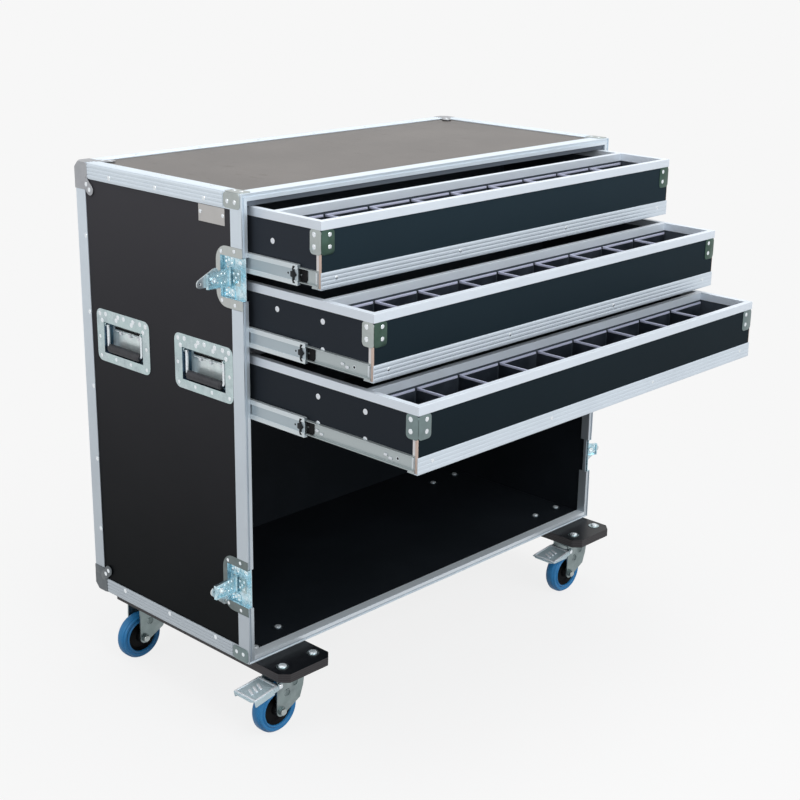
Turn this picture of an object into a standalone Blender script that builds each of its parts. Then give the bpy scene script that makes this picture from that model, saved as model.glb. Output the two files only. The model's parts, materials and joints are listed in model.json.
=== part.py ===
"""Flight case with three drawers over an open bay, on two castor boards.

Blender 4.5, metres, +Z up. The front opening faces -Y. Local case frame: x from the middle of the case,
y from its front edge towards the back, z from the underside of the case. The world origin lies on the
floor under the middle of the whole object, open drawers included.
"""

import bpy
import bmesh
from math import cos, pi, radians, sin, sqrt
from mathutils import Matrix, Vector

# Case body
CASE_WIDTH = 1.062
CASE_DEPTH = 0.492
CASE_HEIGHT = 0.900
PLY = 0.009
GAP = 0.0003

# Aluminium edge extrusions
SKIN = 0.0015
FLANGE = 0.030
INNER_SKIN = 0.0024
INNER_FLANGE = 0.021
LIP_THICK = 0.0040
OUTER_LAND = 0.0018
GROOVE_WIDTH = 0.0046
GROOVE_DEPTH = 0.0024
CORNER_CUT = 0.010
CAP_PROUD = 0.0012
CAP_REACH = 0.034
CAP_BITE = 0.0002

# Header batten behind the top lip
HEADER_FRONT = 0.0043
HEADER_BACK = 0.045
HEADER_DROP = 0.0092

# Telescopic slides, whose members nest in one another
SLIDE_THICK = 0.0127
SLIDE_WALL = 0.0012
SLIDE_RUN = 0.0004
SLIDE_FRONT = 0.0625
SLIDE_BACK_ROOM = 0.010
SLIDE_LENGTH = 0.440
SLIDE_RISE = 0.0195
FIXED_TRACK = 0.0024
FIXED_REACH = 0.0089
MIDDLE_HEIGHT = 0.0364
MIDDLE_TRACK = 0.0048
MIDDLE_REACH = 0.0099
MIDDLE_BAND = 0.0085
MIDDLE_RECESS = 0.0014
MEMBER_DEPTH = 0.0070
MEMBER_SETBACK = 0.006
MEMBER_FOOT = 0.014

# Drawers
DRAWER_COUNT = 3
DRAWER_HEIGHT = 0.1175
DRAWER_PITCH = 0.1345
DRAWER_DEPTH = 0.455
DRAWER_WALL = 0.009
DRAWER_FLOOR = 0.006
DRAWER_HEADROOM = 0.0012
DRAWER_HOME = 0.010
DRAWER_OPEN = (0.185, 0.310, 0.413)
SLIDE_OUT = (0.127, 0.145, 0.142)

# Drawer rim, front angle, partition and dividers
RIM_WALL = 0.0012
RIM_HEIGHT = 0.0155
ANGLE_HEIGHT = 0.030
ANGLE_UNDER = 0.022
ANGLE_WALL = 0.0015
FRONT_CELL_DEPTH = 0.109
CELL_COUNT = 9
DIVIDER_DROP = 0.020
DIVIDER_WALL = 0.002
DIVIDER_FLOOR = 0.001
DIVIDER_NOTCH = 0.006

# Recessed spring handles
HANDLE_WIDTH = 0.168
HANDLE_HEIGHT = 0.106
HANDLE_RADIUS = 0.014
HANDLE_SHEET = 0.0015
HANDLE_Y = (FLANGE + 2 * GAP + HANDLE_WIDTH / 2, 0.360)
HANDLE_RISE = 0.0562
WINDOW_WIDTH = 0.124
WINDOW_HEIGHT = 0.062
WINDOW_RISE = -0.004
PAN_DEPTH = 0.0185
PAN_TAPER_SIDE = 0.005
PAN_TAPER_TOP = 0.005
BAIL_PIVOT_DROP = 0.0045
BAIL_PIVOT_DEPTH = 0.004
BAIL_ROD = 0.003
BAIL_HALF = 0.053
BAIL_DROP = 0.047
GRIP_RADIUS = 0.0085

# Recessed butterfly latches
LATCH_FROM_TOP = 0.152
LATCH_FROM_BOTTOM = 0.155
LATCH_HEIGHT = 0.112
LATCH_DEPTH = 0.072
LATCH_RADIUS = 0.028
LATCH_SHEET = 0.0012
POCKET_HALF = 0.038
POCKET_REAR = 0.060
POCKET_DEPTH = 0.0085
INNER_STRIP = 0.012
HINGE_Y = 0.040
HINGE_DEPTH = 0.005
BARREL_RADIUS = 0.0032
BARREL_EXTRA = 0.0005
ARM_HALF = 0.0165
ARM_TIP_HALF = 0.0138
ARM_REACH = 0.0555
ARM_SWING = {"left": 5.5, "right": 25.0}
ARM_SHEET = 0.002
ARM_FLANGE = 0.006
WING_SHEET = 0.0022
SPINDLE_REACH = 0.040
WING_TIP = (-0.0295, -0.002, 0.008)
WING_UPPER = (0.007, 0.013, 0.008)
WING_TURN = {"upper": 0.0, "lower": -115.0}
WING_HUB = 0.011
WING_HOLE = 0.0025

# Castor boards
BOARD_WIDTH = 0.130
BOARD_THICK = 0.018
BOARD_INSET = 0.014
BOARD_FRONT = -0.082
BOARD_REAR_ROOM = 0.034
BOARD_CHAMFER = 0.016

# Castors
WHEEL_RADIUS = 0.050
WHEEL_WIDTH = 0.032
CASTOR_HEIGHT = 0.130
CASTOR_Y = (-0.020, 0.410)
CASTOR_TRAIL = 0.036
TOP_PLATE_X = 0.105
TOP_PLATE_Y = 0.085
TOP_PLATE_THICK = 0.003
RACE_RADIUS = 0.030
RACE_HEIGHT = 0.006
CROWN_THICK = 0.003
LEG_THICK = 0.003
LEG_INNER = 0.019
FORK_TRAIL_EDGE = 0.046
FORK_LEAD_EDGE = 0.026
AXLE_RADIUS = 0.006
AXLE_NUT = 0.009
KINGPIN_RADIUS = 0.006
KINGPIN_HEAD = 0.010
PIN_RUN = 0.0004

# Brake pedals of the two front castors
PEDAL_REACH = 0.073
PEDAL_HALF = 0.028
PEDAL_SHEET = 0.0025
PEDAL_SKIRT = 0.013
PEDAL_PIVOT_X = -0.041
PEDAL_PIVOT_DROP = 0.042
PEDAL_SLOPE = 13.0

# Worked out from the sizes above
FACE = SKIN + GAP
PLY_FRONT = LIP_THICK + GAP
INSIDE = FACE + PLY + GAP
LIP = INSIDE + INNER_SKIN
CASE_BOTTOM = CASTOR_HEIGHT + BOARD_THICK + 2 * GAP
DRAWER_SIDE = INSIDE + SLIDE_THICK + GAP
MIDDLE_BACK = LIP + GAP
RIM_OUT = RIM_WALL + GAP
DRAWER_TOP = CASE_HEIGHT - LIP - GAP - HEADER_DROP - DRAWER_HEADROOM
LOWEST_SLIDE = DRAWER_TOP - DRAWER_HEIGHT - (DRAWER_COUNT - 1) * DRAWER_PITCH + SLIDE_RISE
HANDLE_Z = LOWEST_SLIDE + HANDLE_RISE
LATCH_Z = (CASE_HEIGHT - LATCH_FROM_TOP, LATCH_FROM_BOTTOM)
FRONT_MOST = max(DRAWER_OPEN) - DRAWER_HOME + GAP + ANGLE_WALL
REAR_MOST = CASE_DEPTH + CAP_PROUD
CASE_FRONT_Y = (FRONT_MOST - REAR_MOST) / 2
SIDES = {"left": -1, "right": 1}
HALF = CASE_WIDTH / 2

parts = bpy.data.collections.new("flight case")
cutters = bpy.data.collections.new("flight case cutters")
origins = {}


def clear_scene():
    for old in list(bpy.data.objects):
        bpy.data.objects.remove(old, do_unlink=True)
    bpy.context.scene.collection.children.link(parts)
    bpy.context.scene.collection.children.link(cutters)


def material(name, colour, roughness, metallic):
    mat = bpy.data.materials.new(name)
    mat.use_nodes = True
    shader = mat.node_tree.nodes["Principled BSDF"]
    shader.inputs["Base Color"].default_value = (*colour, 1.0)
    shader.inputs["Roughness"].default_value = roughness
    shader.inputs["Metallic"].default_value = metallic
    return mat


# Mesh makers

def box_between(bm, low, high):
    low, high = Vector(low), Vector(high)
    grow = Matrix.Diagonal((*(high - low), 1.0))
    return bmesh.ops.create_cube(bm, size=1.0, matrix=Matrix.Translation((low + high) / 2) @ grow)["verts"]


def boxes(*spans):
    """One mesh of separate boxes, each given as its lowest and highest corner."""
    bm = bmesh.new()
    for low, high in spans:
        box_between(bm, low, high)
    return finished(bm, "boxes")


def finished(bm, name):
    mesh = bpy.data.meshes.new(name)
    bm.to_mesh(mesh)
    bm.free()
    return mesh


def side_box(side, depth, y, z):
    """Corners of a box whose x runs between two depths inboard of the side face."""
    ends = sorted(side * (HALF - d) for d in depth)
    return (ends[0], y[0], z[0]), (ends[1], y[1], z[1])


def outline(points, thickness, matrix):
    """A flat outline in x and y, given its thickness along z, turned and moved by matrix."""
    curve = bpy.data.curves.new("outline", "CURVE")
    curve.dimensions = "2D"
    curve.fill_mode = "BOTH"
    curve.extrude = thickness / 2
    spline = curve.splines.new("POLY")
    spline.points.add(len(points) - 1)
    for point, (x, y) in zip(spline.points, points):
        point.co = (x, y, 0.0, 1.0)
    spline.use_cyclic_u = True
    return curve_mesh(curve, matrix)


def curve_mesh(curve, matrix):
    guide = bpy.data.objects.new("guide", curve)
    bpy.context.scene.collection.objects.link(guide)
    bpy.context.view_layer.update()
    evaluated = guide.evaluated_get(bpy.context.evaluated_depsgraph_get())
    mesh = bpy.data.meshes.new_from_object(evaluated)
    bpy.data.objects.remove(guide, do_unlink=True)
    bm = bmesh.new()
    bm.from_mesh(mesh)
    bmesh.ops.remove_doubles(bm, verts=bm.verts, dist=0.00001)
    bm.transform(matrix)
    bmesh.ops.recalc_face_normals(bm, faces=bm.faces)
    if bm.calc_volume(signed=True) < 0:
        bmesh.ops.reverse_faces(bm, faces=bm.faces)
    bm.to_mesh(mesh)
    bm.free()
    return mesh


def cylinder(radius, length, matrix, segments=16):
    bm = bmesh.new()
    bmesh.ops.create_cone(bm, cap_ends=True, segments=segments, radius1=radius, radius2=radius,
                          depth=length, matrix=matrix)
    return finished(bm, "cylinder")


def arc(centre, radius, start, stop, steps):
    """Points of an arc in degrees, from start to stop."""
    turn = [radians(start + (stop - start) * i / steps) for i in range(steps + 1)]
    return [(centre[0] + radius * cos(a), centre[1] + radius * sin(a)) for a in turn]


def rounded_rectangle(half_x, half_y, radius, steps=4):
    points = []
    for sx, sy, start in ((1, 1, 0), (-1, 1, 90), (-1, -1, 180), (1, -1, 270)):
        points += arc((sx * (half_x - radius), sy * (half_y - radius)), radius, start, start + 90, steps)
    return points


# Matrices that lay an outline in the side plane (x to y, y to z) or in the x-z plane
def in_side_plane(side, depth, y, z):
    turn = Matrix(((0, 0, 1, 0), (1, 0, 0, 0), (0, 1, 0, 0), (0, 0, 0, 1)))
    return Matrix.Translation((side * (HALF - depth), y, z)) @ turn


def in_front_plane(x, y, z, mirror=1):
    turn = Matrix(((mirror, 0, 0, 0), (0, 0, 1, 0), (0, 1, 0, 0), (0, 0, 0, 1)))
    return Matrix.Translation((x, y, z)) @ turn


ALONG_Y = Matrix.Rotation(pi / 2, 4, "X")


# Object makers

def empty(name, origin, carrier):
    holder = bpy.data.objects.new(name, None)
    holder.empty_display_size = 0.03
    parts.objects.link(holder)
    return carried(holder, origin, carrier)


def carried(thing, origin, carrier):
    origins[thing.name] = Vector(origin)
    thing.parent = carrier
    thing.location = Vector(origin) - (origins[carrier.name] if carrier else Vector())
    return thing


def piece(name, mesh, mat, carrier, origin=None):
    """A part whose mesh is given in the case frame; its own origin defaults to its carrier's."""
    origin = Vector(origins[carrier.name] if origin is None else origin)
    mesh.transform(Matrix.Translation(-origin))
    mesh.name = name
    mesh.materials.clear()
    mesh.materials.append(mat)
    thing = bpy.data.objects.new(name, mesh)
    parts.objects.link(thing)
    return carried(thing, origin, carrier)


def tool(mesh, target):
    thing = bpy.data.objects.new(target.name + " tool", mesh)
    thing.display_type = "WIRE"
    thing.hide_render = True
    cutters.objects.link(thing)
    mesh.transform(Matrix.Translation(-origins[target.name]))
    origins[thing.name] = origins[target.name]
    thing.parent = target
    return thing


def apply_tool(target, mesh, operation):
    thing = tool(mesh, target)
    step = target.modifiers.new(operation.lower(), "BOOLEAN")
    step.operation = operation
    step.solver = "EXACT"
    step.object = thing
    return thing


def cut(target, mesh):
    return apply_tool(target, mesh, "DIFFERENCE")


def join(target, mesh):
    return apply_tool(target, mesh, "UNION")


def smooth(thing, angle=35):
    thing.data.shade_smooth()
    thing.data.set_sharp_from_angle(angle=radians(angle))


# Case body

def corner_box(inset, plane_depth, ends):
    """A box inset from the case's outside, its rear corners cut on one plane at plane_depth from the
    case's own sharp corner."""
    offset = sqrt(3) * plane_depth - 3 * inset
    bm = bmesh.new()
    box_between(bm, (-HALF + inset, ends[0], inset), (HALF - inset, ends[1], CASE_HEIGHT - inset))
    rear = [v for v in bm.verts if v.co.y > CASE_DEPTH / 2]
    bmesh.ops.bevel(bm, geom=rear, offset=offset, segments=1, profile=0.5, affect="VERTICES")
    return finished(bm, "corner box")


def inset_box(inset, y0, y1):
    return (-HALF + inset, y0, inset), (HALF - inset, y1, CASE_HEIGHT - inset)


def edge_frame(mats, case):
    """All twelve edge extrusions: plain angles along the sides and back, a deep channel round the front."""
    plane = CORNER_CUT / sqrt(3)
    frame = piece("edge_frame", corner_box(0.0, plane, (0.0, CASE_DEPTH)), mats["aluminium"], case)
    cut(frame, corner_box(SKIN, plane + SKIN, (FLANGE, CASE_DEPTH - SKIN)))
    slot = cut(frame, boxes(inset_box(SKIN, LIP_THICK, FLANGE + GAP)))
    cut(slot, boxes(inset_box(INSIDE, -SKIN, FLANGE + SKIN)))
    cut(frame, boxes(inset_box(LIP, -SKIN, FLANGE + SKIN)))
    cut(frame, boxes(inset_box(INSIDE - GAP, INNER_FLANGE, FLANGE + SKIN)))
    groove = cut(frame, boxes(inset_box(OUTER_LAND, -SKIN, GROOVE_DEPTH)))
    cut(groove, boxes(inset_box(OUTER_LAND + GROOVE_WIDTH, -2 * SKIN, FLANGE)))
    reach = HALF + SKIN
    top = CASE_HEIGHT - FLANGE
    back = CASE_DEPTH - FLANGE
    cut(frame, boxes(((-reach, FLANGE, FLANGE), (reach, back, top))))
    cut(frame, boxes(((-HALF + FLANGE, FLANGE, -SKIN), (HALF - FLANGE, back, CASE_HEIGHT + SKIN))))
    cut(frame, boxes(((-HALF + FLANGE, back, FLANGE), (HALF - FLANGE, CASE_DEPTH + SKIN, top))))
    plates, pans, notches, strips = [], [], [], []
    for side in SIDES.values():
        for z in LATCH_Z:
            plate = LATCH_HEIGHT / 2 + GAP
            pan = POCKET_HALF + LATCH_SHEET + GAP
            deep = (-SKIN, FLANGE + SKIN)
            plates.append(side_box(side, (-SKIN, SKIN + GAP / 2), deep, (z - plate, z + plate)))
            pans.append(side_box(side, (-SKIN, INSIDE), deep, (z - pan, z + pan)))
            notches.append(side_box(side, (-SKIN, LIP + SKIN), (-2 * SKIN, PLY_FRONT), (z - pan, z + pan)))
            strips.append(side_box(side, (INSIDE - SKIN, LIP + SKIN), (INNER_STRIP, FLANGE),
                                   (z - pan, z + pan)))
    for holes in (plates, pans, notches, strips):
        cut(frame, boxes(*holes))
    for side in SIDES.values():
        for z, up in ((0.0, -1), (CASE_HEIGHT, 1)):
            join(frame, corner_cap(side, z, up))
    return frame


def corner_cap(side, z, up):
    """A pressed cap over one rear corner: three thin plates that meet in the cut corner."""
    def block(inset, reach):
        low, high = side_box(side, (inset, reach), (CASE_DEPTH - reach, CASE_DEPTH - inset), (0, 0))
        zs = sorted((z - up * inset, z - up * reach))
        bm = bmesh.new()
        corners = box_between(bm, (low[0], low[1], zs[0]), (high[0], high[1], zs[1]))
        tip = Vector((side * (HALF - inset), CASE_DEPTH - inset, z - up * inset))
        nearest = min(corners, key=lambda v: (v.co - tip).length)
        plane = CORNER_CUT / sqrt(3) + inset
        bmesh.ops.bevel(bm, geom=[nearest], offset=sqrt(3) * plane - 3 * inset, segments=1, profile=0.5,
                        affect="VERTICES")
        return finished(bm, "cap block")
    shell = bpy.data.objects.new("cap shell", block(-CAP_PROUD, CAP_REACH))
    hollow = bpy.data.objects.new("cap hollow", block(CAP_BITE, CAP_REACH + SKIN))
    for thing in (shell, hollow):
        bpy.context.scene.collection.objects.link(thing)
    step = shell.modifiers.new("hollow", "BOOLEAN")
    step.object = hollow
    bpy.context.view_layer.update()
    mesh = bpy.data.meshes.new_from_object(shell.evaluated_get(bpy.context.evaluated_depsgraph_get()))
    for thing in (shell, hollow):
        bpy.data.objects.remove(thing, do_unlink=True)
    return mesh


def panels(mats, case):
    ply = mats["laminate"]
    top = CASE_HEIGHT - FACE
    back = CASE_DEPTH - FACE
    half = HALF - INSIDE
    header = CASE_HEIGHT - LIP - GAP
    lid = piece("top_panel", boxes(((-half, PLY_FRONT, top - PLY), (half, back, top))), ply, case)
    behind = INNER_FLANGE + GAP
    join(lid, boxes(((-half, behind, header - HEADER_DROP), (half, HEADER_BACK, top - PLY + GAP))))
    under = HALF - LIP - GAP
    join(lid, boxes(((-under, HEADER_FRONT, header - HEADER_DROP), (under, behind + GAP, header))))
    piece("bottom_panel", boxes(((-half, PLY_FRONT, FACE), (half, back, FACE + PLY))), ply, case)
    rear = ((-half, back - PLY, INSIDE), (half, back, CASE_HEIGHT - INSIDE))
    piece("back_panel", boxes(rear), ply, case)
    for name, side in SIDES.items():
        side_panel(name, side, ply, case)


def side_panel(name, side, ply, case):
    """A ply side with its handle and latch cut-outs, and the fixed slide members screwed to it."""
    clip = CORNER_CUT + 3 * GAP
    back, top = CASE_DEPTH - FACE, CASE_HEIGHT - FACE
    points = [(PLY_FRONT, FACE), (back - clip, FACE), (back, FACE + clip)]
    points += [(back, top - clip), (back - clip, top), (PLY_FRONT, top)]
    board = piece(name + "_panel", outline(points, PLY, in_side_plane(side, FACE + PLY / 2, 0, 0)), ply, case)
    holes = []
    for y in HANDLE_Y:
        wide = WINDOW_WIDTH / 2 + HANDLE_SHEET + GAP
        high = WINDOW_HEIGHT / 2 + HANDLE_SHEET + GAP
        z = HANDLE_Z + WINDOW_RISE
        holes.append(side_box(side, (0, INSIDE + SKIN), (y - wide, y + wide), (z - high, z + high)))
    for z in LATCH_Z:
        high = POCKET_HALF + LATCH_SHEET + GAP
        rear = POCKET_REAR + LATCH_SHEET + GAP
        deep = POCKET_DEPTH + LATCH_SHEET + GAP
        holes.append(side_box(side, (0, deep), (-SKIN, rear), (z - high, z + high)))
    cut(board, boxes(*holes))
    half = MIDDLE_HEIGHT / 2 + SLIDE_RUN + FIXED_TRACK
    ends = (SLIDE_FRONT, CASE_DEPTH - INSIDE - SLIDE_BACK_ROOM)
    for number in range(DRAWER_COUNT):
        join(board, rail(side, INSIDE - 2 * GAP, INSIDE + SLIDE_WALL, slide_z(number), half,
                         INSIDE + FIXED_REACH, ends, FIXED_TRACK))


def rail(side, back, web, z, half, reach, ends, track):
    """A C-shaped slide member: web from depth back to web, its tracks reaching to depth reach."""
    points = [(back, half), (reach, half), (reach, half - track), (web, half - track)]
    return section(side, points, z, ends)


def section(side, upper, z, ends):
    """A long member whose section is given by its upper half, as depth inboard and height above z."""
    points = [(side * (HALF - d), h) for d, h in upper]
    points += [(x, -h) for x, h in reversed(points)]
    return outline(points, ends[1] - ends[0], in_front_plane(0, (ends[0] + ends[1]) / 2, z))


def slide_z(number):
    return drawer_floor(number) + SLIDE_RISE


def drawer_floor(number):
    return DRAWER_TOP - DRAWER_HEIGHT - number * DRAWER_PITCH


# Drawers and slides

def drawer(number, mats, case):
    """One drawer as it stands open, carried by a holder on its slide axis."""
    name = "drawer_%d" % (number + 1)
    front = DRAWER_HOME - DRAWER_OPEN[number]
    low = drawer_floor(number)
    holder = empty(name + "_slide", (0, front, slide_z(number)), case)
    half = HALF - DRAWER_SIDE
    back = front + DRAWER_DEPTH
    wall_top = low + DRAWER_HEIGHT - RIM_WALL - GAP
    cell_front = front + DRAWER_WALL
    cell_back = cell_front + FRONT_CELL_DEPTH
    bay_front = cell_back + DRAWER_WALL
    bay_back = back - DRAWER_WALL
    inner = half - DRAWER_WALL
    base = low + ANGLE_WALL + GAP
    block = boxes(((-half, front, base), (half, back, wall_top)))
    box = piece(name + "_box", block, mats["laminate"], holder)
    pockets = (((-inner, cell_front, base + DRAWER_FLOOR), (inner, cell_back, wall_top + SKIN)),
               ((-inner, bay_front, base + DRAWER_FLOOR), (inner, bay_back, wall_top + SKIN)))
    cut(box, boxes(*pockets))
    drawer_rim(name, mats, holder, half, (front, back), (cell_front, cell_back, bay_front, bay_back), low)
    runner_frame(name, mats, holder, half, front, low, slide_z(number))
    divider_insert(name, mats, holder, inner, (cell_front, cell_back), (base + DRAWER_FLOOR, low))
    slides(number, mats, case)


def drawer_rim(name, mats, holder, half, ends, lines, low):
    """The aluminium channel that caps the four walls and the partition."""
    top = low + DRAWER_HEIGHT
    foot = top - RIM_HEIGHT

    def ring(out, z0, z1):
        """Outer block and its two windows, for walls grown by out on both faces."""
        block = boxes(((-half - out, ends[0] - out, z0), (half + out, ends[1] + out, z1)))
        inner = half - DRAWER_WALL - out
        windows = boxes(((-inner, lines[0] + out, z0 - SKIN), (inner, lines[1] - out, z1 + SKIN)),
                        ((-inner, lines[2] + out, z0 - SKIN), (inner, lines[3] - out, z1 + SKIN)))
        return block, windows
    block, windows = ring(RIM_OUT, foot, top)
    rim = piece(name + "_rim", block, mats["aluminium"], holder)
    cut(rim, windows)
    slot, slot_windows = ring(GAP, foot - SKIN, top - RIM_WALL)
    cut(cut(rim, slot), slot_windows)


def runner_frame(name, mats, holder, half, front, low, z):
    """The grooved angle under the drawer's front edge with the two drawer members of its slides."""
    width = half + RIM_OUT
    face = front - GAP - ANGLE_WALL
    leg = ((-width, face, low), (width, front - GAP, low + ANGLE_HEIGHT))
    frame = piece(name + "_runner_frame", boxes(leg), mats["aluminium"], holder)
    join(frame, boxes(((-width, face, low), (width, front + ANGLE_UNDER, low + ANGLE_WALL))))
    small = MIDDLE_HEIGHT / 2 - MIDDLE_TRACK - SLIDE_RUN
    out = DRAWER_SIDE - GAP
    start = front + MEMBER_SETBACK
    for side in SIDES.values():
        join(frame, rail(side, out, out - SLIDE_WALL, z, small, out - MEMBER_DEPTH,
                         (start, front + SLIDE_LENGTH), SLIDE_WALL))
        clear = INSIDE + MIDDLE_REACH + GAP
        join(frame, boxes(side_box(side, (clear, out), (start, start + MEMBER_FOOT),
                                   (low + ANGLE_WALL / 2, z - small + SLIDE_WALL / 2))))


def divider_insert(name, mats, holder, inner, ends, levels):
    """L-shaped sheet dividers on one thin base: a leg to the front wall and a leg along the partition."""
    floor, low = levels
    base = floor + GAP
    top = low + DRAWER_HEIGHT - DIVIDER_DROP
    half = inner - GAP
    front, back = ends[0] + GAP, ends[1] - GAP
    pitch = (2 * half - DIVIDER_WALL) / CELL_COUNT
    block = boxes(((-half, front, base), (half, back, top)))
    insert = piece(name + "_dividers", block, mats["divider"], holder)
    cells, notches = [], []
    for i in range(CELL_COUNT):
        left = -half + i * pitch + DIVIDER_WALL
        right = half + SKIN if i == CELL_COUNT - 1 else left + pitch - DIVIDER_WALL
        cells.append(((left, front - SKIN, base + DIVIDER_FLOOR), (right, back - DIVIDER_WALL, top + SKIN)))
        if i < CELL_COUNT - 1:
            notches.append(((right - DIVIDER_NOTCH, back - DIVIDER_WALL - GAP, base + 2 * DIVIDER_FLOOR),
                            (right - GAP, back + SKIN, top + SKIN)))
    cut(insert, boxes(*cells))
    cut(insert, boxes(*notches))


def slides(number, mats, case):
    """The two intermediate members, carried by the tracks of the fixed members."""
    name = "slide_%d" % (number + 1)
    end = -SLIDE_OUT[number]
    z = slide_z(number)
    holder = empty(name + "_axis", (0, end, z), case)
    half = MIDDLE_HEIGHT / 2
    reach = INSIDE + MIDDLE_REACH
    groove = MIDDLE_BACK + MIDDLE_RECESS
    points = [(groove, half - MIDDLE_BAND), (MIDDLE_BACK, half - MIDDLE_BAND), (MIDDLE_BACK, half)]
    points += [(reach, half), (reach, half - MIDDLE_TRACK), (groove + SLIDE_WALL, half - MIDDLE_TRACK)]
    for side_name, side in SIDES.items():
        mesh = section(side, points, z, (end, end + SLIDE_LENGTH))
        piece("%s_%s" % (name, side_name), mesh, mats["slide"], holder)


# Handles

def tapered(side, depth, y, z, half_y, half_z, taper_y, taper_z):
    """A block in the side plane that narrows evenly from its outer face to its inner face."""
    bm = bmesh.new()
    outer = side * (HALF - depth[0])
    low, high = side_box(side, depth, (y - half_y, y + half_y), (z - half_z, z + half_z))
    for v in box_between(bm, low, high):
        if abs(v.co.x - outer) > GAP:
            v.co.y = y + (v.co.y - y) * (half_y - taper_y) / half_y
            v.co.z = z + (v.co.z - z) * (half_z - taper_z) / half_z
    return finished(bm, "tapered")


def handle(name, side, y, mats, case):
    z = HANDLE_Z + WINDOW_RISE
    dish_mesh = outline(rounded_rectangle(HANDLE_WIDTH / 2, HANDLE_HEIGHT / 2, HANDLE_RADIUS), HANDLE_SHEET,
                        in_side_plane(side, FACE - GAP - HANDLE_SHEET / 2, y, HANDLE_Z))
    dish = piece(name + "_dish", dish_mesh, mats["zinc"], case)
    outer = FACE - GAP - HANDLE_SHEET
    half_y, half_z = WINDOW_WIDTH / 2, WINDOW_HEIGHT / 2
    slope_y = PAN_TAPER_SIDE / PAN_DEPTH
    slope_z = PAN_TAPER_TOP / PAN_DEPTH
    full = PAN_DEPTH + HANDLE_SHEET
    join(dish, tapered(side, (outer + GAP, outer + full), y, z, half_y + HANDLE_SHEET, half_z + HANDLE_SHEET,
                       slope_y * full, slope_z * full))
    over = SKIN
    more_y, more_z = slope_y * over, slope_z * over
    cut(dish, tapered(side, (outer - over, outer + PAN_DEPTH), y, z, half_y + more_y, half_z + more_z,
                      PAN_TAPER_SIDE + more_y, PAN_TAPER_TOP + more_z))
    pivot_z = z + half_z - BAIL_PIVOT_DROP
    pivot_depth = outer + BAIL_PIVOT_DEPTH
    pin_in = BAIL_HALF + BAIL_ROD + GAP
    pin_out = half_y + HANDLE_SHEET / 2 - slope_y * BAIL_PIVOT_DEPTH
    x = side * (HALF - pivot_depth)
    for end in (-1, 1):
        spot = Matrix.Translation((x, y + end * (pin_in + pin_out) / 2, pivot_z)) @ ALONG_Y
        join(dish, cylinder(BAIL_ROD, pin_out - pin_in, spot, 10))
    bail(name, side, y, (pivot_depth, pivot_z), mats, case)


def bail(name, side, y, pivot, mats, case):
    """A bent steel rod with a thick rubber grip, hinged at its two top ends."""
    x = side * (HALF - pivot[0])
    path = [(x, y - BAIL_HALF, pivot[1]), (x, y - BAIL_HALF, pivot[1] - BAIL_DROP),
            (x, y + BAIL_HALF, pivot[1] - BAIL_DROP), (x, y + BAIL_HALF, pivot[1])]
    curve = bpy.data.curves.new("bail", "CURVE")
    curve.dimensions = "3D"
    curve.bevel_depth = BAIL_ROD
    curve.bevel_resolution = 2
    curve.use_fill_caps = True
    spline = curve.splines.new("POLY")
    spline.points.add(len(path) - 1)
    for point, place in zip(spline.points, path):
        point.co = (*place, 1.0)
    rod = piece(name + "_bail", curve_mesh(curve, Matrix.Identity(4)), mats["rubber"], case, (x, y, pivot[1]))
    grip = Matrix.Translation((x, y, pivot[1] - BAIL_DROP)) @ ALONG_Y
    join(rod, cylinder(GRIP_RADIUS, 2 * (BAIL_HALF - BAIL_ROD - GAP), grip, 12))
    smooth(rod)


# Latches

def latch(name, side, z, mats, case):
    half = LATCH_HEIGHT / 2
    points = [(GAP, -half)] + arc((LATCH_DEPTH - LATCH_RADIUS, LATCH_RADIUS - half), LATCH_RADIUS, -90, 0, 6)
    points += arc((LATCH_DEPTH - LATCH_RADIUS, half - LATCH_RADIUS), LATCH_RADIUS, 0, 90, 6) + [(GAP, half)]
    plate_depth = SKIN - LATCH_SHEET / 2
    dish = piece(name + "_dish", outline(points, LATCH_SHEET, in_side_plane(side, plate_depth, 0, z)),
                 mats["zinc"], case)
    wall = POCKET_HALF + LATCH_SHEET
    rear = POCKET_REAR + LATCH_SHEET
    join(dish, boxes(side_box(side, (SKIN - LATCH_SHEET + GAP / 2, POCKET_DEPTH + LATCH_SHEET), (GAP, rear),
                              (z - wall, z + wall))))
    cut(dish, boxes(side_box(side, (-SKIN, POCKET_DEPTH), (-SKIN, POCKET_REAR),
                             (z - POCKET_HALF, z + POCKET_HALF))))
    ears = []
    barrel = ARM_HALF + BARREL_EXTRA
    for up in (-1, 1):
        zs = sorted((z + up * (barrel + GAP), z + up * (barrel + GAP + ARM_FLANGE / 2)))
        ears.append(side_box(side, (HINGE_DEPTH - BARREL_RADIUS, POCKET_DEPTH + LATCH_SHEET / 2),
                             (HINGE_Y - ARM_FLANGE / 2, HINGE_Y + ARM_FLANGE / 2), zs))
    join(dish, boxes(*ears))
    hinge = (side * (HALF - HINGE_DEPTH), HINGE_Y, z)
    arm = latch_arm(name, side, z, hinge, mats, case)
    blade = wing(name, side, z, mats, arm)
    height, swing = name.split("_")[1], ARM_SWING[name.split("_")[0]]
    arm.rotation_euler = (0.0, 0.0, -side * radians(swing))
    blade.rotation_euler = (0.0, -side * radians(WING_TURN[height]), 0.0)


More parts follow.
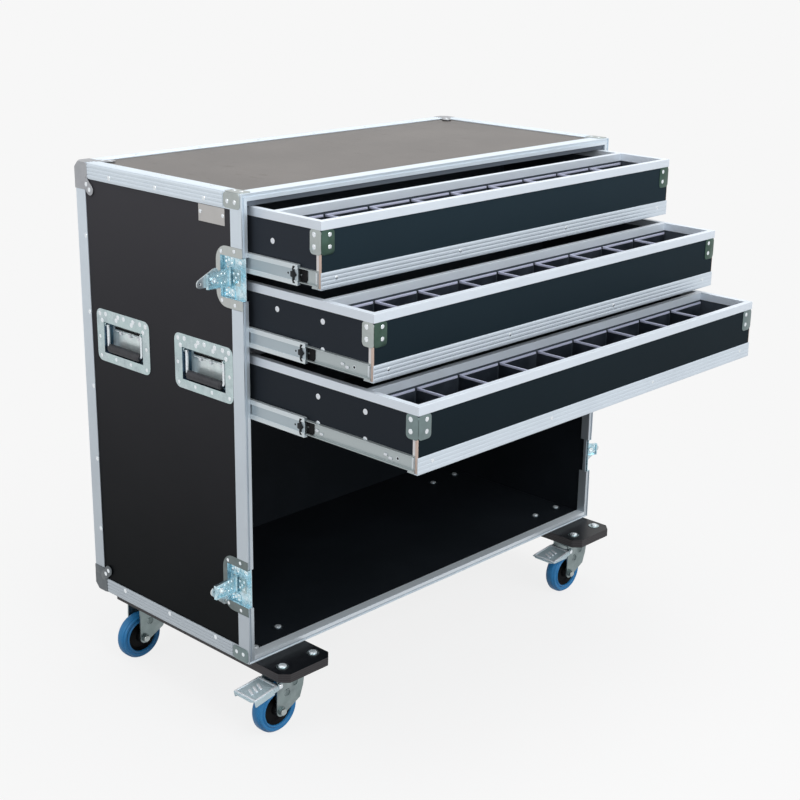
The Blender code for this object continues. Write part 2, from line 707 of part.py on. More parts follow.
def latch_arm(name, side, z, hinge, mats, case):
    """The swinging channel that draws the lid shut, modelled straight out from the side: it narrows
    towards its tip, and its flanges turn towards the front."""
    back = HINGE_Y + ARM_FLANGE / 2
    tip = ARM_REACH - HINGE_DEPTH

    def plate(wall, length, middle, thickness):
        """The arm's outline, shrunk by wall, as a slab across Y."""
        root, end = ARM_HALF - wall, ARM_TIP_HALF - wall
        points = [(length, end), (-HINGE_DEPTH, root), (-HINGE_DEPTH, -root), (length, -end)]
        return outline(points, thickness, in_front_plane(side * HALF, middle, z, side))
    arm = piece(name + "_arm", plate(0.0, tip, HINGE_Y, ARM_FLANGE), mats["zinc"], case, hinge)
    hollow = ARM_FLANGE - ARM_SHEET + SKIN
    cut(arm, plate(ARM_SHEET, tip - ARM_SHEET, back - ARM_SHEET - hollow / 2, hollow))
    mouth = ARM_HALF - ARM_SHEET
    cut(arm, boxes(side_box(side, (HINGE_DEPTH - SKIN, HINGE_DEPTH + SKIN),
                            (HINGE_Y - ARM_FLANGE, back - ARM_SHEET), (z - mouth, z + mouth))))
    join(arm, cylinder(BARREL_RADIUS, 2 * (ARM_HALF + BARREL_EXTRA), Matrix.Translation(hinge), 12))
    smooth(arm)
    return arm


def hull_outline(circles, steps=6):
    """Counter-clockwise outline round circles given in order as (x, y, radius)."""
    points = []
    count = len(circles)
    for i, (x, y, radius) in enumerate(circles):
        before, after = Vector(circles[i - 1][:2]), Vector(circles[(i + 1) % count][:2])
        here = Vector((x, y))
        rb, ra = circles[i - 1][2], circles[(i + 1) % count][2]
        start = tangent_angle(before, rb, here, radius)
        stop = tangent_angle(here, radius, after, ra)
        while stop < start:
            stop += 360
        points += arc((x, y), radius, start, stop, steps)
    return points


def tangent_angle(a, ra, b, rb):
    """Direction in degrees, seen from each centre, of the outer tangent that runs from circle a to b."""
    along = b - a
    heading = along.angle_signed(Vector((1, 0)))
    lean = (ra - rb) / along.length
    return (heading * 180 / pi) - 90 + lean * 180 / pi


def wing(name, side, z, mats, arm):
    """The flat wing on the outer face of the arm, turned on its spindle."""
    face = HINGE_Y + ARM_FLANGE / 2 + GAP
    x = side * (HALF - HINGE_DEPTH + SPINDLE_REACH)
    circles = [(0.0, 0.0, WING_HUB), WING_UPPER, WING_TIP]
    flat = in_front_plane(x, face + WING_SHEET / 2, z, -side)
    blade = outline(hull_outline(circles), WING_SHEET, flat)
    plate = piece(name + "_wing", blade, mats["zinc"], arm, (x, face, z))
    for circle in (WING_UPPER, WING_TIP):
        spot = Matrix.Translation((x - side * circle[0], face + WING_SHEET / 2, z + circle[1])) @ ALONG_Y
        cut(plate, cylinder(WING_HOLE, WING_SHEET * 2, spot, 8))
    return plate


# Castors

def castor_board(name, side, mats, case):
    half = BOARD_WIDTH / 2
    front, back, c = BOARD_FRONT, CASE_DEPTH - BOARD_REAR_ROOM - GAP, BOARD_CHAMFER
    points = [(-half + c, front), (half - c, front), (half, front + c), (half, back - c), (half - c, back),
              (-half + c, back), (-half, back - c), (-half, front + c)]
    lift = Matrix.Translation((castor_x(side), 0, -GAP - BOARD_THICK / 2))
    piece(name + "_castor_board", outline(points, BOARD_THICK, lift), mats["board"], case)


def castor_x(side):
    return side * (HALF - BOARD_INSET - BOARD_WIDTH / 2)


def castor(name, side, y, braked, mats, case):
    x = castor_x(side)
    top = -2 * GAP - BOARD_THICK
    centre = Vector((x, y, 0))
    plate_low = top - TOP_PLATE_THICK
    race_low = plate_low - RACE_HEIGHT
    crown_top = race_low - GAP
    crown_low = crown_top - CROWN_THICK
    block = boxes(((x - TOP_PLATE_X / 2, y - TOP_PLATE_Y / 2, plate_low),
                   (x + TOP_PLATE_X / 2, y + TOP_PLATE_Y / 2, top)))
    plate = piece(name + "_top_plate", block, mats["zinc"], case)
    head_low = crown_low - GAP - CROWN_THICK

    def turned(radius, low, high, segments=16):
        spot = Matrix.Translation(centre + Vector((0, 0, (low + high) / 2)))
        return cylinder(radius, high - low, spot, segments)
    join(plate, turned(RACE_RADIUS, race_low, plate_low + GAP, 24))
    join(plate, turned(KINGPIN_RADIUS, head_low, race_low + GAP))
    join(plate, turned(KINGPIN_HEAD, head_low, crown_low - GAP))
    axle_z = top - CASTOR_HEIGHT + WHEEL_RADIUS
    fork = castor_fork(name, centre, (crown_low, crown_top), axle_z, mats, case)
    cut(fork, turned(KINGPIN_RADIUS + PIN_RUN, crown_low - SKIN, crown_top + SKIN))
    smooth(fork)
    castor_wheel(name, (x - CASTOR_TRAIL, y, axle_z), mats, fork)
    if braked:
        pedal(name, centre, top - PEDAL_PIVOT_DROP + BOARD_THICK, mats, fork)


def castor_fork(name, centre, crown, axle_z, mats, case):
    """Two tapering legs under a crown, with the axle bolt through them."""
    x, y = centre.x, centre.y
    outer = LEG_INNER + LEG_THICK
    axle = x - CASTOR_TRAIL
    foot = AXLE_RADIUS * 2
    lead = x + FORK_LEAD_EDGE
    shape = [(lead, crown[1]), (x - FORK_TRAIL_EDGE, crown[1])]
    shape += arc((axle, axle_z), foot, 180, 320, 6)
    shape += [(x + FORK_LEAD_EDGE * 0.45, axle_z + foot), (x + FORK_LEAD_EDGE * 0.78, axle_z + foot * 3)]
    fork = piece(name + "_fork", outline(shape, 2 * outer, in_front_plane(0, y, 0)), mats["zinc"], case,
                 (x, y, crown[0]))
    rear = min(axle - foot, x - FORK_TRAIL_EDGE) - SKIN
    gap = ((rear, y - LEG_INNER, axle_z - foot - SKIN), (lead + SKIN, y + LEG_INNER, crown[0]))
    cut(fork, boxes(gap))
    lift = Matrix.Translation((x, y, (crown[0] + crown[1]) / 2))
    join(fork, cylinder(RACE_RADIUS, crown[1] - crown[0], lift, 24))
    spot = Matrix.Translation((axle, y, axle_z)) @ ALONG_Y
    join(fork, cylinder(AXLE_RADIUS, 2 * outer + LEG_THICK, spot))
    for end in (-1, 1):
        nut = Matrix.Translation((axle, y + end * (outer + LEG_THICK), axle_z)) @ ALONG_Y
        join(fork, cylinder(AXLE_NUT, 2 * LEG_THICK - GAP, nut, 6))
    return fork


def castor_wheel(name, hub, mats, fork):
    """A rubber-tyred wheel turned about its axle: bore, hub boss, web, rim and tread."""
    half = WHEEL_WIDTH / 2
    boss = LEG_INNER - GAP
    bore = AXLE_RADIUS + PIN_RUN
    rim = WHEEL_RADIUS * 0.66
    half_profile = [(bore, boss), (AXLE_RADIUS * 2.2, boss), (AXLE_RADIUS * 2.4, half * 0.45),
                    (rim, half * 0.45), (rim + AXLE_RADIUS / 3, half * 0.82),
                    (WHEEL_RADIUS * 0.82, half * 0.82), (WHEEL_RADIUS * 0.93, half * 0.72),
                    (WHEEL_RADIUS, half * 0.35)]
    profile = half_profile + [(r, -h) for r, h in reversed(half_profile)]
    bm = bmesh.new()
    ring = [bm.verts.new((r, 0.0, h)) for r, h in profile]
    edges = [bm.edges.new((ring[i], ring[(i + 1) % len(ring)])) for i in range(len(ring))]
    bmesh.ops.spin(bm, geom=ring + edges, cent=(0, 0, 0), axis=(0, 0, 1), angle=2 * pi, steps=24,
                   use_merge=True)
    bmesh.ops.remove_doubles(bm, verts=bm.verts, dist=0.00001)
    bmesh.ops.recalc_face_normals(bm, faces=bm.faces)
    bm.transform(Matrix.Translation(hub) @ ALONG_Y)
    wheel = piece(name + "_wheel", finished(bm, "wheel"), mats["tyre"], fork, hub)
    smooth(wheel)


def pedal(name, centre, pivot_z, mats, fork):
    """The brake pedal: a skirted plate whose two ears hold it to the outside of the fork."""
    x, y = centre.x, centre.y
    pivot = Vector((x + PEDAL_PIVOT_X, y, pivot_z))
    ear = LEG_INNER + LEG_THICK + PIN_RUN
    top = pivot.z + AXLE_RADIUS
    near = x - FORK_TRAIL_EDGE - 2 * PIN_RUN
    far = pivot.x - PEDAL_REACH
    plate = boxes(((far, y - PEDAL_HALF, top - PEDAL_SKIRT), (near, y + PEDAL_HALF, top)))
    part = piece(name + "_brake_pedal", plate, mats["zinc"], fork, pivot)
    inside = PEDAL_HALF - PEDAL_SHEET
    under = top - PEDAL_SKIRT - SKIN
    cut(part, boxes(((far - SKIN, y - inside, under), (near + SKIN, y + inside, top - PEDAL_SHEET))))
    cut(part, boxes(((near - PEDAL_SKIRT, y - PEDAL_HALF - SKIN, under),
                     (near + SKIN, y + PEDAL_HALF + SKIN, top - PEDAL_SHEET))))
    reach = pivot.x + AXLE_RADIUS
    for end in (-1, 1):
        ys = sorted((y + end * ear, y + end * (ear + PEDAL_SHEET)))
        join(part, boxes(((near - PEDAL_SKIRT - SKIN, ys[0], top - PEDAL_SKIRT), (reach, ys[1], top - GAP))))
    part.rotation_euler = (0.0, -radians(PEDAL_SLOPE), 0.0)


def all_materials():
    return {
        "laminate": material("black laminate", (0.020, 0.022, 0.026), 0.45, 0.0),
        "aluminium": material("brushed aluminium", (0.62, 0.66, 0.70), 0.32, 1.0),
        "zinc": material("zinc plated steel", (0.48, 0.52, 0.52), 0.30, 1.0),
        "slide": material("slide steel", (0.55, 0.57, 0.58), 0.30, 1.0),
        "divider": material("divider sheet", (0.50, 0.51, 0.56), 0.45, 0.8),
        "board": material("painted birch board", (0.030, 0.029, 0.030), 0.55, 0.0),
        "rubber": material("black rubber", (0.018, 0.018, 0.020), 0.60, 0.0),
        "tyre": material("blue tyre", (0.045, 0.220, 0.480), 0.50, 0.0),
    }


def build():
    clear_scene()
    mats = all_materials()
    case = empty("case frame", (0, 0, 0), None)
    case.location = (0.0, CASE_FRONT_Y, CASE_BOTTOM)
    edge_frame(mats, case)
    panels(mats, case)
    for number in range(DRAWER_COUNT):
        drawer(number, mats, case)
    for side_name, side in SIDES.items():
        castor_board(side_name, side, mats, case)
        for place, y in zip(("front", "rear"), HANDLE_Y):
            handle("%s_%s_handle" % (side_name, place), side, y, mats, case)
        for place, z in zip(("upper", "lower"), LATCH_Z):
            latch("%s_%s_latch" % (side_name, place), side, z, mats, case)
        for place, y in zip(("front", "rear"), CASTOR_Y):
            castor("%s_%s_castor" % (side_name, place), side, y, place == "front", mats, case)


build()
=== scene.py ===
# %% [markdown]
# Dressing a flight case with three drawers. The construction (every panel, slide, latch and castor, at its
# real size) is loaded as a fixed frame. This script adds what the frame leaves plain: finishes, rivets,
# ribs, braces, springs, grips and tyres. Everything is in metres, and the front of the case faces -Y.

import json
from math import atan, cos, pi, radians, sin

import bmesh
import bpy
from mathutils import Matrix, Vector

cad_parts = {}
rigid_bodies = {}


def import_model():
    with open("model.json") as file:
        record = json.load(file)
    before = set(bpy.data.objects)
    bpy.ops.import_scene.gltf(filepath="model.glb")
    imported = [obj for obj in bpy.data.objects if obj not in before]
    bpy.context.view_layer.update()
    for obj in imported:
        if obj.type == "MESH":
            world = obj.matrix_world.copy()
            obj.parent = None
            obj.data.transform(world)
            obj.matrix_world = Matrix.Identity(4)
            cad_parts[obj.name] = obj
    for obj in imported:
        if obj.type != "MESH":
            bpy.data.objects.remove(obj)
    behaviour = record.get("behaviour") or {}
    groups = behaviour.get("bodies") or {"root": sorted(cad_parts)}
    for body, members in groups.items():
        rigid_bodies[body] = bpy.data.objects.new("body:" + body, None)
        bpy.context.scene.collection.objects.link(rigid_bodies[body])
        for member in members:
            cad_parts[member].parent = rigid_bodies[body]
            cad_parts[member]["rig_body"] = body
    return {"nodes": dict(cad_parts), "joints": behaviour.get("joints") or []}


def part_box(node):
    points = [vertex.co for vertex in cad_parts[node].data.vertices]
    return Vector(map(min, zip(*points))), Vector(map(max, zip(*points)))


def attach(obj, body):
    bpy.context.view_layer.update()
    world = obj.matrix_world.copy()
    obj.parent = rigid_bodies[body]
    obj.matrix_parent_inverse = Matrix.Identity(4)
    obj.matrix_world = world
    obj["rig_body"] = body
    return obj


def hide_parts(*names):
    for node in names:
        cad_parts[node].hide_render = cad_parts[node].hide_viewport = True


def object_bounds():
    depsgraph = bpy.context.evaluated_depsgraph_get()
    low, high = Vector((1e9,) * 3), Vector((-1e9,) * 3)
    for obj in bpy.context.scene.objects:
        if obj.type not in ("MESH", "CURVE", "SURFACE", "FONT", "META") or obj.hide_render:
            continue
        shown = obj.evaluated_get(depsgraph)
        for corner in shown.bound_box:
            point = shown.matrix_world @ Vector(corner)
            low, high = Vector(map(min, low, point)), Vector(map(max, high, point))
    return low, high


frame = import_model()
cad_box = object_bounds()
print("frame", len(frame["nodes"]), "nodes,", "size", [round(v, 4) for v in cad_box[1] - cad_box[0]])

# %% [markdown]
# The case body is a box of plywood held in aluminium extrusions. Its edge frame gives the datum that all
# later places are measured from: x from the middle, y from the front edge backwards, z from the underside.
# The pressed corner caps stand a little proud of the frame, so they come off the measured box again.

# %% Read the datum of the case from its edge frame
CAP_PROUD = 0.0012
edge_low, edge_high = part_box("edge_frame")
HALF = edge_high.x - CAP_PROUD
FRONT = edge_low.y
BASE = edge_low.z + CAP_PROUD
DEPTH = edge_high.y - CAP_PROUD - FRONT
HEIGHT = edge_high.z - CAP_PROUD - BASE
FLANGE = 0.030
SIDES = {"left": -1, "right": 1}
print("case body", round(2 * HALF, 4), "x", round(DEPTH, 4), "x", round(HEIGHT, 4))


def at(x, y, z):
    """A place given from the case's datum, in the frame."""
    return Vector((x, FRONT + y, BASE + z))


# %% [markdown]
# The photograph is taken from the front left, from a little above the case, through a long lens. The place
# and aim come from fitting a pinhole camera to the case's corners and edges, and a camera object repeats
# them: it looks down its own -Z, so the aim becomes a rotation with to_track_quat, plus a slight roll.

# %% Place the camera
def linked(name, data):
    """A new object in the scene."""
    thing = bpy.data.objects.new(name, data)
    bpy.context.scene.collection.objects.link(thing)
    return thing


LENS = 66.77
SENSOR = 36.0
CAMERA_PLACE = at(-1.64161 - HALF, -1.94092, 1.35419)
CAMERA_AIM = Vector((0.690081, 0.654608, -0.308669))
CAMERA_ROLL = 0.883

camera_data = bpy.data.cameras.new("camera")
camera_data.lens = LENS
camera_data.sensor_width = SENSOR
camera = linked("camera", camera_data)
aimed = CAMERA_AIM.to_track_quat("-Z", "Y").to_matrix().to_4x4()
roll = Matrix.Rotation(radians(CAMERA_ROLL), 4, "Z")
camera.matrix_world = Matrix.Translation(CAMERA_PLACE) @ aimed @ roll
bpy.context.scene.camera = camera
print("camera at", [round(v, 3) for v in CAMERA_PLACE])

# %% [markdown]
# Materials are node trees, and writing them by hand is wordy. This small class adds a node, fills its inputs
# with numbers or with other nodes' outputs, and sets its options, so that each finish below stays readable.


# %% A short hand for node trees
class Wiring:
    """Adds nodes to one tree and wires them."""

    def __init__(self, tree):
        self.tree = tree

    def add(self, kind, inputs=None, **options):
        node = self.tree.nodes.new(kind)
        for name, value in options.items():
            setattr(node, name, value)
        for name, value in (inputs or {}).items():
            self.give(node.inputs[name], value)
        return node

    def give(self, socket, value):
        if isinstance(value, bpy.types.NodeSocket):
            self.tree.links.new(value, socket)
        else:
            socket.default_value = value

    def maths(self, operation, *values, clamp=False):
        node = self.add("ShaderNodeMath", operation=operation, use_clamp=clamp)
        for socket, value in zip(node.inputs, values):
            self.give(socket, value)
        return node.outputs[0]

    def vector(self, operation, *values):
        node = self.add("ShaderNodeVectorMath", operation=operation)
        for socket, value in zip(node.inputs, values):
            self.give(socket, value)
        return node.outputs[0]

    def scaled(self, vector, amount):
        return self.add("ShaderNodeVectorMath", {0: vector, "Scale": amount}, operation="SCALE").outputs[0]

    def measured(self, place, size, share=1.0):
        """The place counted in sizes, so that a pattern of scale 1 comes out that big."""
        return self.scaled(place, self.maths("DIVIDE", share, size))

    def group(self, tree, inputs):
        return self.add("ShaderNodeGroup", inputs, node_tree=tree).outputs

    def noise(self, place, scale, detail=3.0, rough=0.55):
        node = self.add("ShaderNodeTexNoise", {"Vector": place, "Scale": scale, "Detail": detail,
                                               "Roughness": rough})
        return node.outputs["Fac"]

    def between(self, value, low, high, out_low=0.0, out_high=1.0):
        return self.add("ShaderNodeMapRange", {"Value": value, "From Min": low, "From Max": high,
                                               "To Min": out_low, "To Max": out_high}).outputs["Result"]

    def colour(self, factor, first, second):
        node = self.add("ShaderNodeMix", data_type="RGBA")
        for name, value in (("Factor_Float", factor), ("A_Color", first), ("B_Color", second)):
            socket = [s for s in node.inputs if s.identifier == name][0]
            self.give(socket, (*value, 1.0) if isinstance(value, tuple) and len(value) == 3 else value)
        return [s for s in node.outputs if s.identifier == "Result_Color"][0]


def shader_group(name, inputs, *outputs):
    """A group with inputs given as {label: default}, where a three-part default makes a vector."""
    tree = bpy.data.node_groups.new(name, "ShaderNodeTree")
    for label, value in inputs.items():
        kind = "NodeSocketVector" if isinstance(value, tuple) else "NodeSocketFloat"
        tree.interface.new_socket(label, in_out="INPUT", socket_type=kind).default_value = value
    for label in outputs:
        tree.interface.new_socket(label, in_out="OUTPUT", socket_type="NodeSocketFloat")
    wires = Wiring(tree)
    return wires, wires.add("NodeGroupInput").outputs, wires.add("NodeGroupOutput").inputs


# %% [markdown]
# Five effects turn up on many surfaces of a used case, so each is a shader group with named inputs: dust and
# scuffs that lie over everything, the drawn grain of extruded or brushed metal, the cloudy bloom of zinc
# plating, the fine raised skin of phenolic film, and the layers that show where plywood is sawn. A group
# hands out masks and heights only, and every material decides for itself how strongly to use them.

# %% Dust and scuffs
w, given, out = shader_group(
    "Dust And Scuffs", {"Place": (0.0, 0.0, 0.0), "Patch Size": 0.12, "Scuff Size": 0.03}, "Dust", "Scuffs")
patches = w.noise(w.measured(given["Place"], given["Patch Size"]), 1.0, 5.0)
w.give(out["Dust"], w.between(patches, 0.42, 0.70))
stretched = w.vector("MULTIPLY", given["Place"], (1.0, 0.35, 0.6))
fine = w.noise(w.measured(stretched, given["Scuff Size"]), 1.0, 6.0, 0.7)
w.give(out["Scuffs"], w.between(fine, 0.60, 0.74))
dust_group = w.tree
print("group", dust_group.name)

# %% Drawn grain
w, given, out = shader_group(
    "Drawn Grain", {"Place": (0.0, 0.0, 0.0), "Along": (0.0, 0.0, 0.0), "Line Width": 0.0008}, "Lines")
dot = w.add("ShaderNodeVectorMath", {0: given["Place"], 1: given["Along"]}, operation="DOT_PRODUCT")
run = w.scaled(given["Along"], dot.outputs["Value"])
across = w.vector("SUBTRACT", given["Place"], run)
stretched = w.vector("ADD", across, w.scaled(run, 0.02))
w.give(out["Lines"], w.noise(w.measured(stretched, given["Line Width"]), 1.0, 2.0))
grain_group = w.tree
print("group", grain_group.name)

# %% Zinc bloom
w, given, out = shader_group(
    "Zinc Bloom", {"Place": (0.0, 0.0, 0.0), "Cloud Size": 0.02, "Bloom": 0.5}, "Cloud", "Tint", "Height")
cloud = w.noise(w.measured(given["Place"], given["Cloud Size"]), 1.0, 4.0, 0.6)
w.give(out["Cloud"], w.maths("MULTIPLY", w.between(cloud, 0.35, 0.68), given["Bloom"]))
tints = w.noise(w.measured(given["Place"], given["Cloud Size"], 0.6), 1.0, 1.0)
w.give(out["Tint"], w.between(tints, 0.40, 0.62))
w.give(out["Height"], cloud)
zinc_group = w.tree
print("group", zinc_group.name)

# %% Film skin
w, given, out = shader_group(
    "Film Skin", {"Place": (0.0, 0.0, 0.0), "Cell": 0.0016, "Speck Size": 0.004}, "Height", "Specks")
cells = w.add("ShaderNodeTexVoronoi", {"Vector": w.measured(given["Place"], given["Cell"]), "Scale": 1.0},
              feature="F1")
w.give(out["Height"], w.between(cells.outputs["Distance"], 0.1, 0.7, 1.0, 0.0))
specks = w.noise(w.measured(given["Place"], given["Speck Size"]), 1.0, 2.0, 0.8)
w.give(out["Specks"], w.between(specks, 0.62, 0.74))
skin_group = w.tree
print("group", skin_group.name)

# %% Plywood layers
w, given, out = shader_group(
    "Ply Layers", {"Place": (0.0, 0.0, 0.0), "Across": (0.0, 0.0, 1.0), "Layer": 0.0014}, "Layers")
depth = w.add("ShaderNodeVectorMath", {0: given["Place"], 1: given["Across"]}, operation="DOT_PRODUCT")
wobble = w.maths("MULTIPLY", w.noise(given["Place"], 90.0), 0.0006)
phase = w.maths("DIVIDE", w.maths("ADD", depth.outputs["Value"], wobble), given["Layer"])
w.give(out["Layers"], w.between(w.maths("PINGPONG", phase, 1.0), 0.30, 0.70))
ply_group = w.tree
print("group", ply_group.name)

# %% [markdown]
# A finish is a Principled BSDF whose colour, roughness and normal come from these groups. Constants such as
# the metallic value go straight onto the shader's sockets. Grooved and drawn metal reads a vector attribute
# named along, which the pieces carry to say which way they were drawn; where a piece has none, the grain is
# the same in all directions.


# %% A maker of finishes
def finish(name, metallic=0.0, specular=0.5):
    mat = bpy.data.materials.new(name)
    mat.use_nodes = True
    shader = mat.node_tree.nodes["Principled BSDF"].inputs
    shader["Metallic"].default_value = metallic
    shader["Specular IOR Level"].default_value = specular
    wires = Wiring(mat.node_tree)
    return mat, wires, shader, wires.add("ShaderNodeTexCoord").outputs["Object"]


def bumped(w, height, distance):
    return w.add("ShaderNodeBump", {"Height": height, "Distance": distance}).outputs["Normal"]


def worn(w, place, patch, scuff):
    return w.group(dust_group, {"Place": place, "Patch Size": patch, "Scuff Size": scuff})


def filmed(w, place, cell, speck):
    return w.group(skin_group, {"Place": place, "Cell": cell, "Speck Size": speck})


def share_of_height(w, place, low=0.0):
    """From low at the foot of the case to 1 at its top."""
    height = w.add("ShaderNodeSeparateXYZ", {0: place}).outputs["Z"]
    return w.between(height, BASE, BASE + HEIGHT, low, 1.0)


# %% [markdown]
# The panels are birch plywood with a black phenolic film. It isn't quite black: the film has a fine raised
# skin that spreads the light, paler specks, and a haze of dust. On top of these, rise and bend make the
# colour paler with height as painted light, darker towards the foot and paler towards the top. One function
# makes all the laminates of this case.


# %% Black laminate on panels and drawers
def laminate(name, dark, pale, roughness, specular, haze, specks, rise=0.0, bend=1.0):
    mat, w, shader, place = finish(name, specular=specular)
    skin = filmed(w, place, 0.0016, 0.005)
    wear = worn(w, place, 0.16, 0.02)
    # Painted light: the colour gets paler with height by rise, bent by a power, and darker towards the foot.
    painted_light_by_height = w.maths("MULTIPLY", w.maths("POWER", share_of_height(w, place), bend), rise)
    dusty = w.maths("ADD", w.maths("MULTIPLY", wear["Dust"], haze), painted_light_by_height)
    mixed = w.maths("ADD", dusty, w.maths("MULTIPLY", skin["Specks"], specks), clamp=True)
    w.give(shader["Base Color"], w.colour(mixed, dark, pale))
    w.give(shader["Roughness"], w.between(wear["Scuffs"], 0.0, 1.0, roughness, roughness + 0.10))
    w.give(shader["Normal"], bumped(w, skin["Height"], 0.00008))
    return mat


# The side, drawer and bay films get the painted light rise with height; the bay film rises to a pale top,
# painted light inside the case.
side_film = laminate("side film", (0.0020, 0.0032, 0.0040), (0.085, 0.083, 0.092), 0.44, 0.035,
                     0.02, 0.03, 0.85, 1.35)
# The top film is paler than the sides partly from dust and partly as a painted sheen of the sky it reflects.
top_film = laminate("top film", (0.068, 0.058, 0.052), (0.130, 0.114, 0.104), 0.38, 0.50, 0.35, 0.6)
drawer_film = laminate("drawer film", (0.0020, 0.0040, 0.0055), (0.024, 0.043, 0.057), 0.42, 0.03,
                       0.03, 0.05, 0.75, 1.9)
drawer_side_film = laminate("drawer side film", (0.006, 0.009, 0.012), (0.046, 0.054, 0.068), 0.42, 0.04,
                            0.03, 0.05, 0.80, 1.2)
bay_film = laminate("bay film", (0.012, 0.015, 0.019), (0.200, 0.240, 0.300), 0.48, 0.08,
                    0.02, 0.03, 1.0, 5.0)
inside_film = laminate("drawer inside film", (0.045, 0.055, 0.068), (0.070, 0.085, 0.105), 0.45, 0.2, 0.3,
                       0.2)
# The header's film is painted light: paler than the black film, so that the shaded batten reads as lit.
header_painted_light = laminate("header film painted light", (0.110, 0.128, 0.155), (0.150, 0.170, 0.200), 0.55, 0.2, 0.3, 0.2)
board_face = laminate("painted board face", (0.0055, 0.0065, 0.0085), (0.016, 0.018, 0.022), 0.34, 0.24,
                      0.30, 0.3)
print("laminates", len(bpy.data.materials))

# %% [markdown]
# The edge extrusions, drawer rims and angles are natural anodised aluminium: pale, satin, a little blue, with
# faint die lines along their length. The dividers are the same sheet, duller, and where they face one
# another they are painted near black as painted shade, so only their top edges show pale.


# %% Aluminium
def drawn_metal(name, pale, dull, roughness, lines, metallic=0.55, wear_share=0.35, foot=1.0):
    """foot is how much of the colour is left at the case's foot, which gets less light."""
    mat, w, shader, place = finish(name, metallic=metallic)
    along = w.add("ShaderNodeAttribute", attribute_name="along").outputs["Vector"]
    grain = w.group(grain_group, {"Place": place, "Along": along, "Line Width": 0.0009})
    wear = worn(w, place, 0.09, 0.015)
    mixed = w.maths("MULTIPLY", w.maths("ADD", wear["Dust"], wear["Scuffs"], clamp=True), wear_share)
    w.give(shader["Base Color"], w.scaled(w.colour(mixed, pale, dull), share_of_height(w, place, foot)))
    w.give(shader["Roughness"], w.between(grain["Lines"], 0.3, 0.7, roughness - 0.02, roughness + 0.02))
    w.give(shader["Normal"], bumped(w, grain["Lines"], lines))
    return mat


anodised = drawn_metal("anodised aluminium", (0.74, 0.82, 0.89), (0.64, 0.71, 0.78), 0.40, 0.000004,
                       foot=0.65)
# Painted light: a paler copy for the sill's faces, and a brighter one for the painted highlight bands on its
# front.
sill_painted_light = drawn_metal("front sill aluminium painted light", (0.88, 0.95, 1.0), (0.76, 0.83, 0.90), 0.34, 0.000004, 0.25)
sill_painted_highlight = drawn_metal("front sill painted highlights", (0.74, 0.80, 0.85), (0.66, 0.72, 0.77), 0.38, 0.000004, 0.4)
rim_metal = drawn_metal("drawer rim aluminium", (0.74, 0.80, 0.87), (0.66, 0.71, 0.78), 0.42, 0.000003, 0.45)
angle_metal = drawn_metal("drawer angle aluminium", (0.66, 0.73, 0.80), (0.56, 0.62, 0.69), 0.40, 0.000004)
plate_metal = drawn_metal("label plate metal", (0.52, 0.51, 0.50), (0.40, 0.39, 0.38), 0.34, 0.00002, 0.8)
divider_edge = drawn_metal("divider edge", (0.52, 0.54, 0.68), (0.42, 0.44, 0.56), 0.45, 0.00001, 0.2)
track_steel = drawn_metal("slide track steel", (0.66, 0.72, 0.75), (0.60, 0.66, 0.69), 0.40, 0.000001,
                          0.6, 0.1)
# The web's darker copy of the steel is painted shade.
web_painted_shade = drawn_metal("slide web steel painted shade", (0.42, 0.49, 0.53), (0.37, 0.42, 0.47), 0.38, 0.000001, 0.7, 0.3)
member_steel = drawn_metal("drawer member steel", (0.45, 0.50, 0.51), (0.42, 0.47, 0.48), 0.36, 0.000001,
                           0.65, 0.1)
print("drawn metals, in all", len(bpy.data.materials), "finishes")

# %% Painted shade on the faces of the divider sheets
divider_painted_shade, w, shader, place = finish("divider face painted shade", metallic=0.35, specular=0.4)
wear = worn(w, place, 0.05, 0.01)
w.give(shader["Base Color"], w.colour(wear["Dust"], (0.020, 0.026, 0.036), (0.052, 0.062, 0.080)))
w.give(shader["Roughness"], w.between(wear["Scuffs"], 0.0, 1.0, 0.36, 0.5))
print("finish", divider_painted_shade.name)

# %% [markdown]
# Dishes, braces, caps, forks and pedals are pressed steel with zinc plating. Zinc is never even: it clouds,
# takes a faint green or blue tint, and its forming marks bend the reflections. The latch mechanisms are the
# bluest. A rivet is the same metal, polished by its setting tool. Pieces low on the case stand in shade, so
# braces, caps and flanges there get darker copies of the plating as painted shade. The forward leaves of the
# drawer braces get a dark green copy as a painted reflection, and the fork's pressings a darker copy as
# painted shade.


# %% Zinc plate
def plated(name, pale, dark, tint, roughness, dents, cloud=0.02, bloom=0.6, metallic=0.9):
    mat, w, shader, place = finish(name, metallic=metallic)
    zinc = w.group(zinc_group, {"Place": place, "Cloud Size": cloud, "Bloom": bloom})
    wear = worn(w, place, 0.03, 0.006)
    base = w.colour(zinc["Cloud"], pale, dark)
    w.give(shader["Base Color"], w.colour(w.maths("MULTIPLY", zinc["Tint"], 0.5), base, tint))
    w.give(shader["Roughness"], w.between(wear["Scuffs"], 0.0, 1.0, roughness, roughness + 0.16))
    w.give(shader["Normal"], bumped(w, zinc["Height"], dents))
    return mat


dish_zinc = plated("dish zinc", (0.54, 0.63, 0.65), (0.31, 0.39, 0.41), (0.47, 0.61, 0.61), 0.24, 0.0009)
pan_zinc = plated("pan zinc", (0.88, 0.95, 0.95), (0.56, 0.64, 0.66), (0.76, 0.90, 0.90), 0.30, 0.0006,
                  0.016, 0.6, 0.6)
pan_shade = plated("pan zinc in shade", (0.085, 0.150, 0.215), (0.035, 0.065, 0.100), (0.12, 0.21, 0.29),
                   0.26, 0.0008)
brace_zinc = plated("brace zinc", (0.44, 0.48, 0.475), (0.36, 0.39, 0.38), (0.40, 0.45, 0.44), 0.36, 0.0003)
